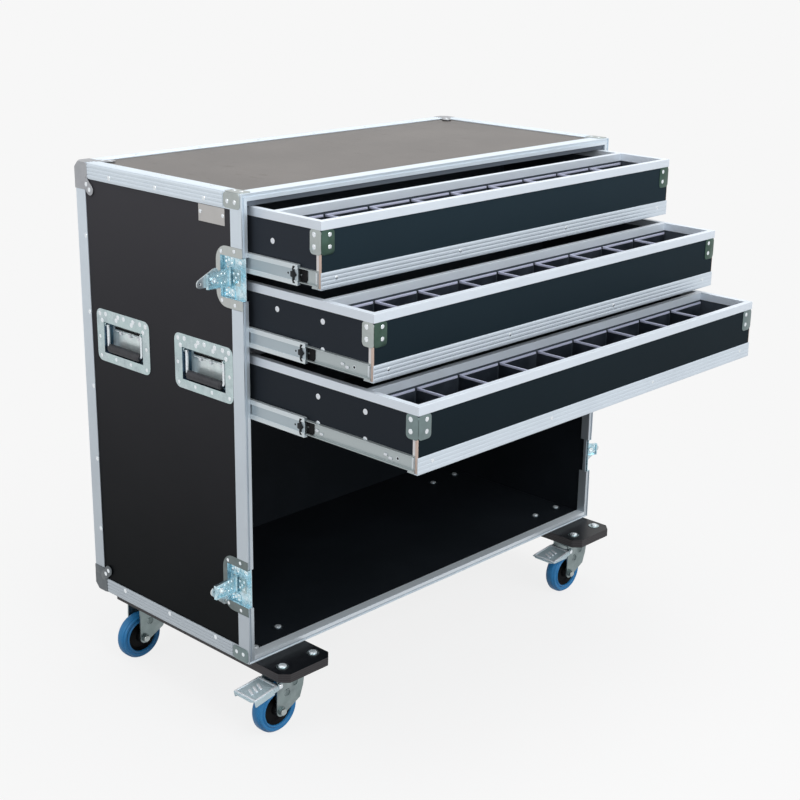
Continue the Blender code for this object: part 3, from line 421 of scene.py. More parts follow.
# Forward-looking leaves: a dark green copy of the plating, a painted reflection.
brace_painted_reflection = plated("brace zinc painted reflection", (0.066, 0.118, 0.092), (0.034, 0.066, 0.052),
                     (0.09, 0.155, 0.13), 0.30, 0.0006)
# Darker copies for pieces near the floor: painted shade.
brace_painted_shade = plated("brace zinc painted shade near the floor", (0.20, 0.26, 0.265), (0.14, 0.18, 0.18),
                   (0.18, 0.24, 0.24), 0.30, 0.0004)
cap_zinc = plated("cap zinc", (0.41, 0.42, 0.44), (0.33, 0.34, 0.36), (0.38, 0.39, 0.42), 0.42, 0.0001)
# The lower caps' darker copy: painted shade.
cap_painted_shade = plated("cap zinc painted shade near the floor", (0.14, 0.155, 0.165), (0.09, 0.10, 0.11), (0.12, 0.14, 0.15),
                 0.34, 0.0002)
latch_zinc = plated("latch zinc", (0.70, 0.85, 0.91), (0.17, 0.34, 0.42), (0.45, 0.76, 0.87), 0.17, 0.0016,
                    0.007)
flange_zinc = plated("latch flange zinc", (0.50, 0.52, 0.51), (0.40, 0.42, 0.41), (0.48, 0.52, 0.51),
                     0.34, 0.0003)
# The lower latch flanges' darker copy: painted shade.
flange_painted_shade = plated("latch flange zinc painted shade near the floor", (0.17, 0.20, 0.20), (0.10, 0.125, 0.125),
                    (0.14, 0.18, 0.18), 0.28, 0.0004)
wing_zinc = plated("wing zinc", (0.66, 0.70, 0.72), (0.46, 0.50, 0.52), (0.60, 0.66, 0.69), 0.30, 0.0002)
fork_zinc = plated("fork zinc", (0.28, 0.33, 0.335), (0.13, 0.16, 0.165), (0.22, 0.28, 0.28), 0.34, 0.0005)
# The pressings' darker copy of the zinc is painted shade.
fork_painted_shade = plated("fork zinc painted shade in the pressings", (0.17, 0.21, 0.215), (0.09, 0.115, 0.12),
                   (0.14, 0.18, 0.18), 0.34, 0.0005)
pedal_zinc = plated("pedal zinc", (0.56, 0.67, 0.72), (0.42, 0.52, 0.56), (0.52, 0.66, 0.71), 0.42, 0.0002,
                    0.02, 0.5, 0.45)
print("pressed metals, in all", len(bpy.data.materials), "finishes")

# %% Rivets, screws and bolts
rivet_steel = plated("rivet steel", (0.86, 0.89, 0.92), (0.55, 0.60, 0.64), (0.78, 0.86, 0.90), 0.20, 0.0001,
                     0.004)
latch_rivet = plated("latch rivet zinc", (0.92, 0.98, 1.0), (0.50, 0.64, 0.70), (0.78, 0.92, 0.97),
                     0.15, 0.0001, 0.003)
screw_white = plated("screw zinc", (0.82, 0.85, 0.89), (0.74, 0.77, 0.81), (0.80, 0.84, 0.89), 0.50, 0.0001,
                     0.003, 0.3, 0.4)
bolt_steel = plated("bolt steel", (0.90, 0.96, 1.0), (0.50, 0.60, 0.66), (0.74, 0.90, 0.98), 0.32, 0.0003,
                    0.006, 0.5, 0.55)
# Washers on the bay floor: a dark copy of the steel, painted shade.
bay_washer_painted_shade = plated("bay washer steel painted shade", (0.14, 0.17, 0.20), (0.06, 0.08, 0.09), (0.12, 0.16, 0.19),
                   0.36, 0.0003, 0.004)
bay_bolt = plated("bay bolt steel", (0.95, 0.98, 1.0), (0.60, 0.70, 0.76), (0.82, 0.94, 1.0), 0.30, 0.0003,
                  0.004, 0.5, 0.5)
print("fasteners, in all", len(bpy.data.materials), "finishes")

# %% [markdown]
# Rubber, plastic and bare plywood finish the list. The tyres are blue elastic rubber with a dusty bloom,
# their centres black plastic. The castor boards are birch plywood painted black, with the layers still
# showing faintly on their edges, and bare layers show at the ends of the drawer fronts.


# %% Rubber, tyre and plastic
def soft_plastic(name, colour, dusty, roughness, texture, specular=0.5):
    mat, w, shader, place = finish(name, specular=specular)
    skin = filmed(w, place, 0.0011, 0.003)
    wear = worn(w, place, 0.02, 0.006)
    dust = w.maths("MULTIPLY", w.maths("ADD", wear["Dust"], wear["Scuffs"], clamp=True), 0.6)
    w.give(shader["Base Color"], w.colour(dust, colour, dusty))
    w.give(shader["Roughness"], w.between(wear["Dust"], 0.0, 1.0, roughness, roughness + 0.15))
    w.give(shader["Normal"], bumped(w, skin["Height"], texture))
    return mat


grip_rubber = soft_plastic("grip rubber", (0.016, 0.017, 0.022), (0.045, 0.046, 0.055), 0.42, 0.00006)
tyre_rubber = soft_plastic("tyre rubber", (0.020, 0.195, 0.455), (0.042, 0.255, 0.535), 0.40, 0.00003, 0.40)
hub_plastic = soft_plastic("hub plastic", (0.0012, 0.0014, 0.0018), (0.005, 0.0055, 0.007), 0.50, 0.00002,
                           0.10)
catch_plastic = soft_plastic("catch plastic", (0.0050, 0.0065, 0.0085), (0.014, 0.017, 0.021), 0.40, 0.00003,
                             0.2)
# Real black plastic for the ball retainers, and painted shadow where dark slabs and discs stand for a slot or
# a hole.
painted_shadow_and_black_plastic = soft_plastic("painted shadow and black plastic", (0.004, 0.004, 0.005), (0.010, 0.010, 0.011), 0.70, 0.00002, 0.2)

# %% Plywood edges
def plywood(name, pale, dark, across, roughness, layer):
    mat, w, shader, place = finish(name, specular=0.35)
    layers = w.group(ply_group, {"Place": place, "Across": across, "Layer": layer})["Layers"]
    wear = worn(w, place, 0.04, 0.01)
    mixed = w.maths("ADD", w.maths("MULTIPLY", layers, 0.7), w.maths("MULTIPLY", wear["Dust"], 0.3))
    w.give(shader["Base Color"], w.colour(mixed, dark, pale))
    w.give(shader["Roughness"], w.between(wear["Scuffs"], 0.0, 1.0, roughness, roughness + 0.1))
    w.give(shader["Normal"], bumped(w, layers, 0.00008))
    return mat


board_edge = plywood("painted board edge", (0.044, 0.038, 0.041), (0.015, 0.0145, 0.017), (0.0, 0.0, 1.0),
                     0.5, 0.0022)
bare_edge = plywood("bare birch edge", (0.80, 0.63, 0.54), (0.66, 0.49, 0.41), (0.0, 1.0, 0.0), 0.6, 0.0026)
glue_edge = plywood("pale outer veneer", (0.90, 0.88, 0.88), (0.78, 0.74, 0.73), (0.0, 1.0, 0.0), 0.6, 0.0040)
print("materials", len(bpy.data.materials))

# %% [markdown]
# What repeats on a case is grown by Geometry Nodes. Every tree here works the same way: it takes loose points
# that carry their own attributes, makes one item, stands the item on each point, realises the instances,
# because an exported model can't hold them, and gives them their finish. These helpers write the beginning
# and the end that the trees share.


# %% The shared beginning and end of a tree
def points_tree(name, labels, output):
    tree = bpy.data.node_groups.new(name, "GeometryNodeTree")
    tree.interface.new_socket("Points", in_out="INPUT", socket_type="NodeSocketGeometry")
    for label, kind in labels.items():
        tree.interface.new_socket(label, in_out="INPUT", socket_type="NodeSocket" + kind)
    tree.interface.new_socket("Finish", in_out="INPUT", socket_type="NodeSocketMaterial")
    tree.interface.new_socket(output, in_out="OUTPUT", socket_type="NodeSocketGeometry")
    g = Wiring(tree)
    return g, g.add("NodeGroupInput").outputs


def carried(g, name, kind="FLOAT_VECTOR"):
    """An attribute that the points carry."""
    return g.add("GeometryNodeInputNamedAttribute", {"Name": name}, data_type=kind).outputs["Attribute"]


def turned_to(g, vector, axis="Z", after=None, pivot="AUTO"):
    """A rotation that brings an axis of the item to a vector, starting from another rotation if given."""
    inputs = {"Vector": vector} if after is None else {"Vector": vector, "Rotation": after}
    return g.add("FunctionNodeAlignRotationToVector", inputs, axis=axis, pivot_axis=pivot).outputs[0]


def stood_on_points(g, given, output, item, rotation, scale=None):
    inputs = {"Points": given["Points"], "Instance": item, "Rotation": rotation}
    if scale is not None:
        inputs["Scale"] = scale
    placed = g.add("GeometryNodeInstanceOnPoints", inputs)
    solid = g.add("GeometryNodeRealizeInstances", {"Geometry": placed.outputs["Instances"]})
    painted = g.add("GeometryNodeSetMaterial", {"Geometry": solid.outputs[0], "Material": given["Finish"]})
    g.give(g.add("NodeGroupOutput").inputs[output], painted.outputs[0])
    print("tree", g.tree.name, "with", len(g.tree.nodes), "nodes")


# %% [markdown]
# Flight cases are covered in fasteners, and one tree makes them all. Its item is a small turned head: a
# cylinder whose top is extruded and drawn in twice, which gives a dome, and then once more, which gives an
# optional dimple. More or fewer sides make it a rivet or a nut.


# %% The tree that makes rivets, screws and bolt heads
def heads_tree():
    g, given = points_tree("Fastener Heads", {"Radius": "Float", "Height": "Float", "Crown": "Float",
                                              "Dimple": "Float", "Sides": "Int"}, "Heads")

    def raised(mesh, top, rise):
        step = g.add("GeometryNodeExtrudeMesh", {"Mesh": mesh, "Selection": top, "Offset Scale": rise,
                                                 "Individual": False}, mode="FACES")
        return step.outputs["Mesh"], step.outputs["Top"]

    def drawn_in(mesh, top, share):
        return g.add("GeometryNodeScaleElements", {"Geometry": mesh, "Selection": top, "Scale": share},
                     domain="FACE").outputs[0]

    def of_height(label, share):
        return g.maths("MULTIPLY", given["Height"], g.maths("MULTIPLY", given[label], share))

    body = g.add("GeometryNodeMeshCylinder", {"Vertices": given["Sides"], "Radius": given["Radius"],
                                              "Depth": given["Height"]}, fill_type="NGON")
    mesh, top = body.outputs["Mesh"], body.outputs["Top"]
    for rise, share in ((0.55, 0.80), (0.30, 0.62)):
        mesh, top = raised(mesh, top, of_height("Crown", rise))
        mesh = drawn_in(mesh, top, share)
    mesh, top = raised(mesh, top, 0.0)
    mesh = drawn_in(mesh, top, 0.62)
    mesh, _ = raised(mesh, top, of_height("Dimple", -1.0))
    stood_on_points(g, given, "Heads", mesh, turned_to(g, carried(g, "facing")), carried(g, "size", "FLOAT"))
    return g.tree


heads = heads_tree()

# %% [markdown]
# The side extrusions and the drawers' front angles are ribbed lengthwise. The item of the second tree is a
# ribbed strip: a thin box with many cross divisions, whose upper face is lifted by a rounded saw tooth of
# the place across it. Each point says which way its strip faces, which way it runs, and how long and wide
# it is.


# %% The tree that makes ribbed strips
def ribs_tree():
    inputs = {"Ribs": "Int", "Rib Height": "Float", "Sheet": "Float"}
    g, given = points_tree("Ribbed Strips", inputs, "Strips")
    size = g.add("ShaderNodeCombineXYZ", {"X": 1.0, "Y": 1.0, "Z": given["Sheet"]}).outputs[0]
    across = g.maths("ADD", g.maths("MULTIPLY", given["Ribs"], 10.0), 1.0)
    slab = g.add("GeometryNodeMeshCube", {"Size": size, "Vertices X": 2, "Vertices Y": across,
                                          "Vertices Z": 2})
    place = g.add("ShaderNodeSeparateXYZ", {0: g.add("GeometryNodeInputPosition").outputs[0]}).outputs
    phase = g.maths("FRACT", g.maths("MULTIPLY", g.maths("ADD", place["Y"], 0.5), given["Ribs"]))
    off_middle = g.maths("ABSOLUTE", g.maths("SUBTRACT", g.maths("MULTIPLY", phase, 2.0), 1.0))
    tooth = g.maths("MINIMUM", g.maths("MULTIPLY", g.maths("SUBTRACT", 1.0, off_middle), 2.0), 1.0)
    lift = g.add("ShaderNodeCombineXYZ", {"Z": g.maths("MULTIPLY", tooth, given["Rib Height"])}).outputs[0]
    upper = g.add("FunctionNodeCompare", {0: place["Z"], 1: 0.0}, data_type="FLOAT", operation="GREATER_THAN")
    ribbed = g.add("GeometryNodeSetPosition", {"Geometry": slab.outputs["Mesh"], "Offset": lift,
                                               "Selection": upper.outputs[0]})
    faced = turned_to(g, carried(g, "facing"))
    laid = turned_to(g, carried(g, "along"), "X", faced, "Z")
    stood_on_points(g, given, "Strips", ribbed.outputs[0], laid, carried(g, "span"))
    return g.tree


ribs = ribs_tree()

# %% [markdown]
# A tree is run on a mesh of loose vertices with named attributes. The modifier's inputs are set by their
# sockets' identifiers, and the evaluated result is kept as a plain mesh that rides on one body. Smooth
# shading with sharp edges beyond an angle keeps domes round and rims crisp.


# %% Run a tree and keep its mesh
def settled(maker):
    """An object's evaluated mesh, kept as plain data in place of the object."""
    bpy.context.view_layer.update()
    mesh = bpy.data.meshes.new_from_object(maker.evaluated_get(bpy.context.evaluated_depsgraph_get()))
    bpy.data.objects.remove(maker, do_unlink=True)
    return mesh


def mounted(name, mesh, body, replaces=(), angle=None):
    """A finished mesh becomes a piece that rides on a body, smooth up to an angle where one is given."""
    mesh.name = name
    thing = linked(name, mesh)
    if angle:
        mesh.shade_smooth()
        mesh.set_sharp_from_angle(angle=radians(angle))
    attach(thing, body)
    if replaces:
        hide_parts(*replaces)


def grown(name, tree, points, inputs, body, angle=40):
    """points are dicts with a place and the attributes that the tree reads."""
    mesh = bpy.data.meshes.new(name + " points")
    mesh.from_pydata([p["place"] for p in points], [], [])
    for key in [k for k in points[0] if k != "place"]:
        is_vector = isinstance(points[0][key], Vector)
        layer = mesh.attributes.new(key, "FLOAT_VECTOR" if is_vector else "FLOAT", "POINT")
        flat = [c for p in points for c in p[key]] if is_vector else [p[key] for p in points]
        layer.data.foreach_set("vector" if is_vector else "value", flat)
    maker = linked(name + " maker", mesh)
    step = maker.modifiers.new(name, "NODES")
    step.node_group = tree
    for socket in tree.interface.items_tree:
        if socket.in_out == "INPUT" and socket.name in inputs:
            step[socket.identifier] = inputs[socket.name]
    result = settled(maker)
    mounted(name, result, body, (), angle)
    print(name, "on", body, len(points), "points", len(result.polygons), "faces")


def fasteners(name, body, points, radius=0.0043, height=0.0007, crown=1.3, dimple=0.0, sides=14,
              metal=rivet_steel, slot_name="zinc_plated_steel"):
    """points are (place, facing) or (place, facing, size)."""
    rows = [{"place": p[0], "facing": Vector(p[1]), "size": p[2] if len(p) > 2 else 1.0} for p in points]
    grown(name, heads, rows, {"Radius": radius, "Height": height, "Crown": crown, "Dimple": dimple,
                              "Sides": sides, "Finish": metal}, body)


def strips(name, body, rows, count, height=0.0005, metal=anodised):
    """rows are (place, facing, along, length, width)."""
    points = [{"place": p, "facing": Vector(f), "along": Vector(a), "span": Vector((length, width, 1.0))}
              for p, f, a, length, width in rows]
    grown(name, ribs, points, {"Ribs": count, "Rib Height": height, "Sheet": 0.0004, "Finish": metal},
          body, 25)


# %% [markdown]
# Everything that doesn't repeat is built on a bench: a class that collects slabs cut to an outline, rounded
# blocks, turned pieces and bent rods in one mesh, and then mounts it as one piece. Edges rounded by a few
# tenths of a millimetre are enough to catch a highlight.


# %% A bench for single pieces
def arc(centre, radius, start, stop, steps):
    turns = [radians(start + (stop - start) * i / steps) for i in range(steps + 1)]
    return [(centre[0] + radius * cos(a), centre[1] + radius * sin(a)) for a in turns]


def rounded(half_x, half_y, radius, steps=5):
    points = []
    for sx, sy, start in ((1, 1, 0), (-1, 1, 90), (-1, -1, 180), (1, -1, 270)):
        points += arc((sx * (half_x - radius), sy * (half_y - radius)), radius, start, start + 90, steps)
    return points


class Bench:
    """Collects solids into one mesh, each with its material's index."""

    def __init__(self, *metals):
        self.bm = bmesh.new()
        self.metals = metals

    def take(self, solid, place=None, metal=0, edge=0.0):
        if edge:
            sharp = [e for e in solid.edges if e.is_manifold and e.calc_face_angle() > radians(40)]
            bmesh.ops.bevel(solid, geom=sharp, offset=edge, segments=2, profile=0.5, affect="EDGES",
                            clamp_overlap=True)
        if place is not None:
            solid.transform(place)
        if solid.calc_volume(signed=True) < 0:
            bmesh.ops.reverse_faces(solid, faces=solid.faces)
        for face in solid.faces:
            face.material_index = metal
        part = bpy.data.meshes.new("part")
        solid.to_mesh(part)
        solid.free()
        self.bm.from_mesh(part)
        bpy.data.meshes.remove(part)

    def slab(self, points, thickness, place, metal=0, edge=0.0003):
        """An outline in x and y with its thickness rising along z."""
        solid = bmesh.new()
        face = solid.faces.new([solid.verts.new((x, y, 0.0)) for x, y in points])
        moved = bmesh.ops.extrude_face_region(solid, geom=[face])["geom"]
        bmesh.ops.translate(solid, verts=[v for v in moved if isinstance(v, bmesh.types.BMVert)],
                            vec=(0.0, 0.0, thickness))
        bmesh.ops.recalc_face_normals(solid, faces=solid.faces)
        self.take(solid, place, metal, edge)

    def block(self, corner, opposite, metal=0, edge=0.0003):
        """A box between two opposite corners, given in any order."""
        low, high = Vector(map(min, corner, opposite)), Vector(map(max, corner, opposite))
        grow = Matrix.Diagonal((*(high - low), 1.0))
        solid = bmesh.new()
        bmesh.ops.create_cube(solid, size=1.0, matrix=Matrix.Translation((low + high) / 2) @ grow)
        self.take(solid, None, metal, edge)

    def turned(self, profile, place, metal=0, steps=24):
        """A profile of (radius, height) turned about z, which ends on the axis or closes on itself."""
        solid = bmesh.new()
        ring = [solid.verts.new((r, 0.0, z)) for r, z in profile]
        edges = [solid.edges.new(pair) for pair in zip(ring, ring[1:])]
        if profile[0][0] > 0:
            edges.append(solid.edges.new((ring[-1], ring[0])))
        bmesh.ops.spin(solid, geom=ring + edges, cent=(0, 0, 0), axis=(0, 0, 1), angle=2 * pi, steps=steps,
                       use_merge=True)
        bmesh.ops.remove_doubles(solid, verts=solid.verts, dist=0.00001)
        bmesh.ops.recalc_face_normals(solid, faces=solid.faces)
        self.take(solid, place, metal)

    def rod(self, path, radius, metal=0, bend=0.0):
        """A round rod along a path of points; bend rounds its corners."""
        points = [Vector(p) for p in path]
        if bend:
            eased = [points[0]]
            for before, corner, after in zip(points, points[1:], points[2:]):
                start = corner + (before - corner).normalized() * bend
                stop = corner + (after - corner).normalized() * bend
                for t in (i / 5 for i in range(6)):
                    eased.append(start * (1 - t) ** 2 + corner * 2 * t * (1 - t) + stop * t ** 2)
            points = eased + [points[-1]]
        curve = bpy.data.curves.new("rod", "CURVE")
        curve.dimensions = "3D"
        curve.bevel_depth = radius
        curve.bevel_resolution = 3
        curve.use_fill_caps = True
        spline = curve.splines.new("POLY")
        spline.points.add(len(points) - 1)
        for point, spot in zip(spline.points, points):
            point.co = (*spot, 1.0)
        solid = bmesh.new()
        solid.from_mesh(settled(linked("rod", curve)))
        bmesh.ops.remove_doubles(solid, verts=solid.verts, dist=0.00001)
        bmesh.ops.recalc_face_normals(solid, faces=solid.faces)
        self.take(solid, None, metal)

    def made(self, name, body, slot_name, *replaces):
        mesh = bpy.data.meshes.new(name)
        self.bm.to_mesh(mesh)
        self.bm.free()
        for metal in self.metals:
            mesh.materials.append(metal)
        mounted(name, mesh, body, replaces, 35)


# %% [markdown]
# Outlines and turned pieces have to be laid where they belong. On a side face an outline's x runs along Y and
# its y along Z; on top or underneath it lies flat; and a turned piece often lies with its axis along Y.


# %% Places for outlines and turned pieces
def on_side(side, spot):
    """Lays an outline at a spot on a side of the case, rising outwards."""
    turn = Matrix(((0, 0, side, 0), (1, 0, 0, 0), (0, 1, 0, 0), (0, 0, 0, 1)))
    return Matrix.Translation(spot) @ turn


def facing_out(side, y, z, lift=0.0):
    """The same from the case's datum, with a lift from its side face."""
    return on_side(side, at(side * (HALF + lift), y, z))


def facing_up(x, y, z, up=1):
    return Matrix.Translation(at(x, y, z)) @ Matrix.Diagonal((1, 1, up, 1))


def facing_y(spot, end=-1):
    """Lays a turned piece's axis along Y, outwards to +Y for an end of 1 and to -Y for one of -1."""
    return Matrix.Translation(spot) @ Matrix.Rotation(-end * pi / 2, 4, "X")


print("places for outlines ready")

# %% [markdown]
# The frame's own solids are right in shape but have knife edges. A refined piece starts from a copy of such
# a solid: its loose triangles are merged, flat faces are joined again, a small bevel rounds every edge, and
# weighted normals keep the flats flat. The copy then stands for the original node.


# %% Refine a solid of the frame
def refined(node, metals, choose=None, edge=0.0003, reshape=None, grain=None):
    """choose gives a face's finish from its middle and normal; reshape may move the copy's vertices."""
    source = frame["nodes"][node]
    bm = bmesh.new()
    bm.from_mesh(source.data)
    bmesh.ops.remove_doubles(bm, verts=bm.verts, dist=0.000004)
    bmesh.ops.dissolve_limit(bm, angle_limit=radians(1.0), verts=bm.verts, edges=bm.edges)
    if reshape:
        for vert in bm.verts:
            vert.co = reshape(vert.co)
    mesh = bpy.data.meshes.new(node + " copy")
    bm.to_mesh(mesh)
    bm.free()
    mesh.materials.clear()
    for metal in metals:
        mesh.materials.append(metal)
    mesh.shade_smooth()
    copy = linked(node + " copy", mesh)
    step = copy.modifiers.new("rounded edges", "BEVEL")
    step.width = edge
    step.segments = 2
    step.limit_method = "ANGLE"
    step.angle_limit = radians(35)
    step.use_clamp_overlap = True
    copy.modifiers.new("flat flats", "WEIGHTED_NORMAL").keep_sharp = True
    result = settled(copy)
    if choose:
        for face in result.polygons:
            face.material_index = choose(face.center, face.normal)
    if grain:
        layer = result.attributes.new("along", "FLOAT_VECTOR", "POINT")
        layer.data.foreach_set("vector", [c for v in result.vertices for c in grain(v.co)])
    mounted("refined_" + node, result, source["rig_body"], (node,))


# %% [markdown]
# The studio comes before the pieces, so that every test render is already lit. The backdrop and floor show
# as near white to the camera, to reflections and through glass, while the light that falls on the case comes
# from a soft sky and three large area lamps at a plain level. The floor keeps a faint shadow near the case.

# %% World, floor and lamps
BACKDROP = 0.93
SKY = (0.54, 0.55, 0.57)
FLOOR_BOUNCE = 0.20
FLOOR_RADIUS = 60.0
SHADOW_NEAR, SHADOW_FAR = 0.6, 1.7
NEAR_GLOW = 0.89
world = bpy.data.worlds.new("studio")
bpy.context.scene.world = world
world.use_nodes = True
w = Wiring(world.node_tree)
ray = w.add("ShaderNodeLightPath").outputs
seen = w.maths("MAXIMUM", ray["Is Camera Ray"], w.maths("MAXIMUM", ray["Is Glossy Ray"],
                                                         ray["Is Transmission Ray"]))
backdrop = world.node_tree.nodes["Background"]
w.give(backdrop.inputs["Color"], w.colour(seen, SKY, (BACKDROP,) * 3))

floor_mesh = bpy.data.meshes.new("floor")
bm = bmesh.new()
bmesh.ops.create_circle(bm, cap_ends=True, segments=64, radius=FLOOR_RADIUS)
bm.to_mesh(floor_mesh)
bm.free()
floor = linked("floor", floor_mesh)
floor.location.z = cad_box[0].z
floor_finish = bpy.data.materials.new("pale floor")
floor_finish.use_nodes = True
w = Wiring(floor_finish.node_tree)
w.tree.nodes.remove(w.tree.nodes["Principled BSDF"])
ray = w.add("ShaderNodeLightPath").outputs
seen = w.maths("MAXIMUM", ray["Is Camera Ray"], ray["Is Glossy Ray"])
reach = w.add("ShaderNodeVectorMath", {0: w.add("ShaderNodeTexCoord").outputs["Object"]}, operation="LENGTH")
glow = w.between(reach.outputs["Value"], SHADOW_NEAR, SHADOW_FAR, NEAR_GLOW, 1.0)
seen_tone = w.colour(seen, (FLOOR_BOUNCE,) * 3, (BACKDROP,) * 3)
painted = w.add("ShaderNodeBsdfDiffuse", {"Color": seen_tone}).outputs[0]
lit = w.add("ShaderNodeEmission", {"Color": (BACKDROP, BACKDROP, BACKDROP, 1.0)}).outputs[0]
mixed = w.add("ShaderNodeMixShader", {0: w.maths("MULTIPLY", glow, seen), 1: painted, 2: lit}).outputs[0]
w.give(w.tree.nodes["Material Output"].inputs["Surface"], mixed)
floor_mesh.materials.append(floor_finish)


def lamp(name, place, target, size, power, colour=(1.0, 1.0, 1.0)):
    data = bpy.data.lights.new(name, "AREA")
    data.shape = "RECTANGLE"
    data.size, data.size_y = size
    data.energy = power
    data.color = colour
    thing = linked(name, data)
    thing.location = place
    thing.rotation_mode = "QUATERNION"
    thing.rotation_quaternion = (Vector(target) - Vector(place)).to_track_quat("-Z", "Y")


lamp("overhead softbox", (0.2, -0.4, 3.6), (0.0, 0.1, 0.8), (3.2, 2.4), 66.0, (1.0, 0.98, 0.95))
lamp("front softbox", (-0.4, -3.4, 2.4), (0.0, 0.0, 0.8), (2.8, 1.8), 68.0, (0.94, 0.98, 1.0))
lamp("left softbox", (-3.6, 0.2, 2.6), (0.0, 0.2, 0.7), (2.0, 1.8), 24.0)
bpy.context.scene.view_settings.view_transform = "Standard"

# %% [markdown]
# The panels are plywood, and their shapes are right as they are, so each is a refined copy with more than
# one finish: film outside, a film inside the bay that is painted paler towards the top, a paler film on the
# header under the top that is painted light, and slide steel where a fixed slide member is part of a side
# panel. Which face gets which is decided from where the face lies and where it looks.

# %% Film the panels
FACE = 0.0018
PLY = 0.009
INSIDE = FACE + PLY
HEADER_BACK = 0.046
PANEL_EDGE = 0.0002


def side_finish(side):
    def choose(centre, normal):
        depth = HALF - centre.x * side
        if depth > INSIDE + 0.0001:
            return 2
        return 1 if normal.x * side < -0.5 and depth > INSIDE - 0.001 else 0
    return choose


def top_finish(centre, normal):
    if centre.z > BASE + HEIGHT - INSIDE - 0.0002:
        return 1 if normal.z < -0.5 else 0
    # The header's faces get the film that is painted light.
    return 2 if centre.y < FRONT + HEADER_BACK else 1


def panel(name, metals, choose):
    refined(name + "_panel", metals, choose, PANEL_EDGE)


for side_name, side in SIDES.items():
    panel(side_name, (side_film, bay_film, track_steel), side_finish(side))
panel("top", (top_film, bay_film, header_painted_light), top_finish)
panel("back", (side_film, bay_film), lambda c, n: 1 if n.y < -0.5 else 0)
panel("bottom", (side_film, bay_film), lambda c, n: 1 if n.z > 0.5 else 0)
print("panels filmed")

# %% [markdown]
# The edge frame is refined from its solid, and each vertex is told which way its extrusion runs: along the
# axis of the edge that it is nearest to. The corner caps are part of the same solid and get zinc by their
# place. The faces of the front sill get a paler copy of the metal, as painted light against the drawers'
# shade. Then come the ribs, on the flanges along the sides and the back edges, and two bands of painted
# highlight along the front of the sill.

# %% Edge extrusions
CAP_REACH = 0.034


def extrusion_run(co):
    x_off = HALF - abs(co.x)
    y_off = min(abs(co.y - FRONT), abs(co.y - FRONT - DEPTH))
    z_off = min(abs(co.z - BASE), abs(co.z - BASE - HEIGHT))
    runs = {(1.0, 0.0, 0.0): y_off + z_off, (0.0, 1.0, 0.0): x_off + z_off, (0.0, 0.0, 1.0): x_off + y_off}
    return min(runs, key=runs.get)


def on_cap(co, slack=0.0004):
    return (abs(co.x) > HALF - CAP_REACH - slack and co.y > FRONT + DEPTH - CAP_REACH - slack
            and min(co.z - BASE, BASE + HEIGHT - co.z) < CAP_REACH + slack)


def frame_finish(centre, normal):
    if on_cap(centre):
        # The lower caps get the darker copy: painted shade.
        return 1 if centre.z > BASE + HEIGHT / 2 else 3
    # The front sill's faces get the paler copy: painted light.
    sill = centre.z < BASE + FLANGE and centre.y < FRONT + FLANGE and abs(centre.x) < HALF - CAP_REACH
    return 2 if sill else 0


refined("edge_frame", (anodised, cap_zinc, sill_painted_light, cap_painted_shade), frame_finish,
        grain=extrusion_run)
print("extrusions refined")

# %% Ribs and painted highlight bands on the sill
SILL_HIGHLIGHT_BANDS = ((0.0002, 0.0016), (0.0066, 0.0133))
BRACE_END = 0.047
RIB_WIDTH = 0.027
RIB_GAP = 0.001
run_start, run_stop = BRACE_END + RIB_GAP, DEPTH - CAP_REACH - RIB_GAP
side_run, side_middle = run_stop - run_start, (run_start + run_stop) / 2
back_run = 2 * (HALF - CAP_REACH - RIB_GAP)
rows = []
for side in SIDES.values():
    places = [(at(side * HALF, side_middle, z), (side, 0, 0)) for z in (FLANGE / 2, HEIGHT - FLANGE / 2)]
    places.append((at(side * (HALF - FLANGE / 2), side_middle, HEIGHT), (0, 0, 1)))
    rows += [(place, facing, (0, 1, 0), side_run, RIB_WIDTH) for place, facing in places]
places = [(at(0.0, DEPTH, z), (0, 1, 0)) for z in (FLANGE / 2, HEIGHT - FLANGE / 2)]
places.append((at(0.0, DEPTH - FLANGE / 2, HEIGHT), (0, 0, 1)))
rows += [(place, facing, (1, 0, 0), back_run, RIB_WIDTH) for place, facing in places]
strips("edge_ribs", "case", rows, 4, 0.0009)
rows = [(at(0.0, 0.0, (low + high) / 2), (0, -1, 0), (1, 0, 0), 2 * (HALF - high), high - low)
        for low, high in SILL_HIGHLIGHT_BANDS]
strips("sill_painted_highlights", "case", rows, 1, 0.0001, sill_painted_highlight)

# %% [markdown]
# Rivets hold the extrusions to the ply at about 150 mm. Their places are measured on the left side and its
# top, and the right side mirrors them. On the back a like pitch is spread evenly.

# %% Rivets of the case body
RIVET_INSET = 0.020
LOW_RIVET_INSET = 0.023
UPRIGHT_RIVET_INSET = 0.025
RIB_CROWN = 0.0006
SIDE_RIVETS_TOP = (0.100, 0.241, 0.382)
SIDE_RIVETS_LOW = (0.099, 0.242, 0.390)
UPRIGHT_RIVETS = (0.140, 0.294, 0.450, 0.604, 0.757)
BACK_RIVETS = [-0.40 + 0.16 * i for i in range(6)]
points = []
for side in SIDES.values():
    out = (side, 0, 0)
    points += [(at(side * (HALF + RIB_CROWN), y, HEIGHT - RIVET_INSET), out) for y in SIDE_RIVETS_TOP]
    points += [(at(side * (HALF + RIB_CROWN), y, LOW_RIVET_INSET), out) for y in SIDE_RIVETS_LOW]
    points += [(at(side * HALF, DEPTH - UPRIGHT_RIVET_INSET, z), out) for z in UPRIGHT_RIVETS]
    points += [(at(side * (HALF - RIVET_INSET), y, HEIGHT), (0, 0, 1)) for y in SIDE_RIVETS_TOP]
    points += [(at(side * (HALF - RIVET_INSET), DEPTH, z), (0, 1, 0)) for z in UPRIGHT_RIVETS]
points += [(at(x, DEPTH, z), (0, 1, 0)) for x in BACK_RIVETS for z in (RIVET_INSET, HEIGHT - RIVET_INSET)]
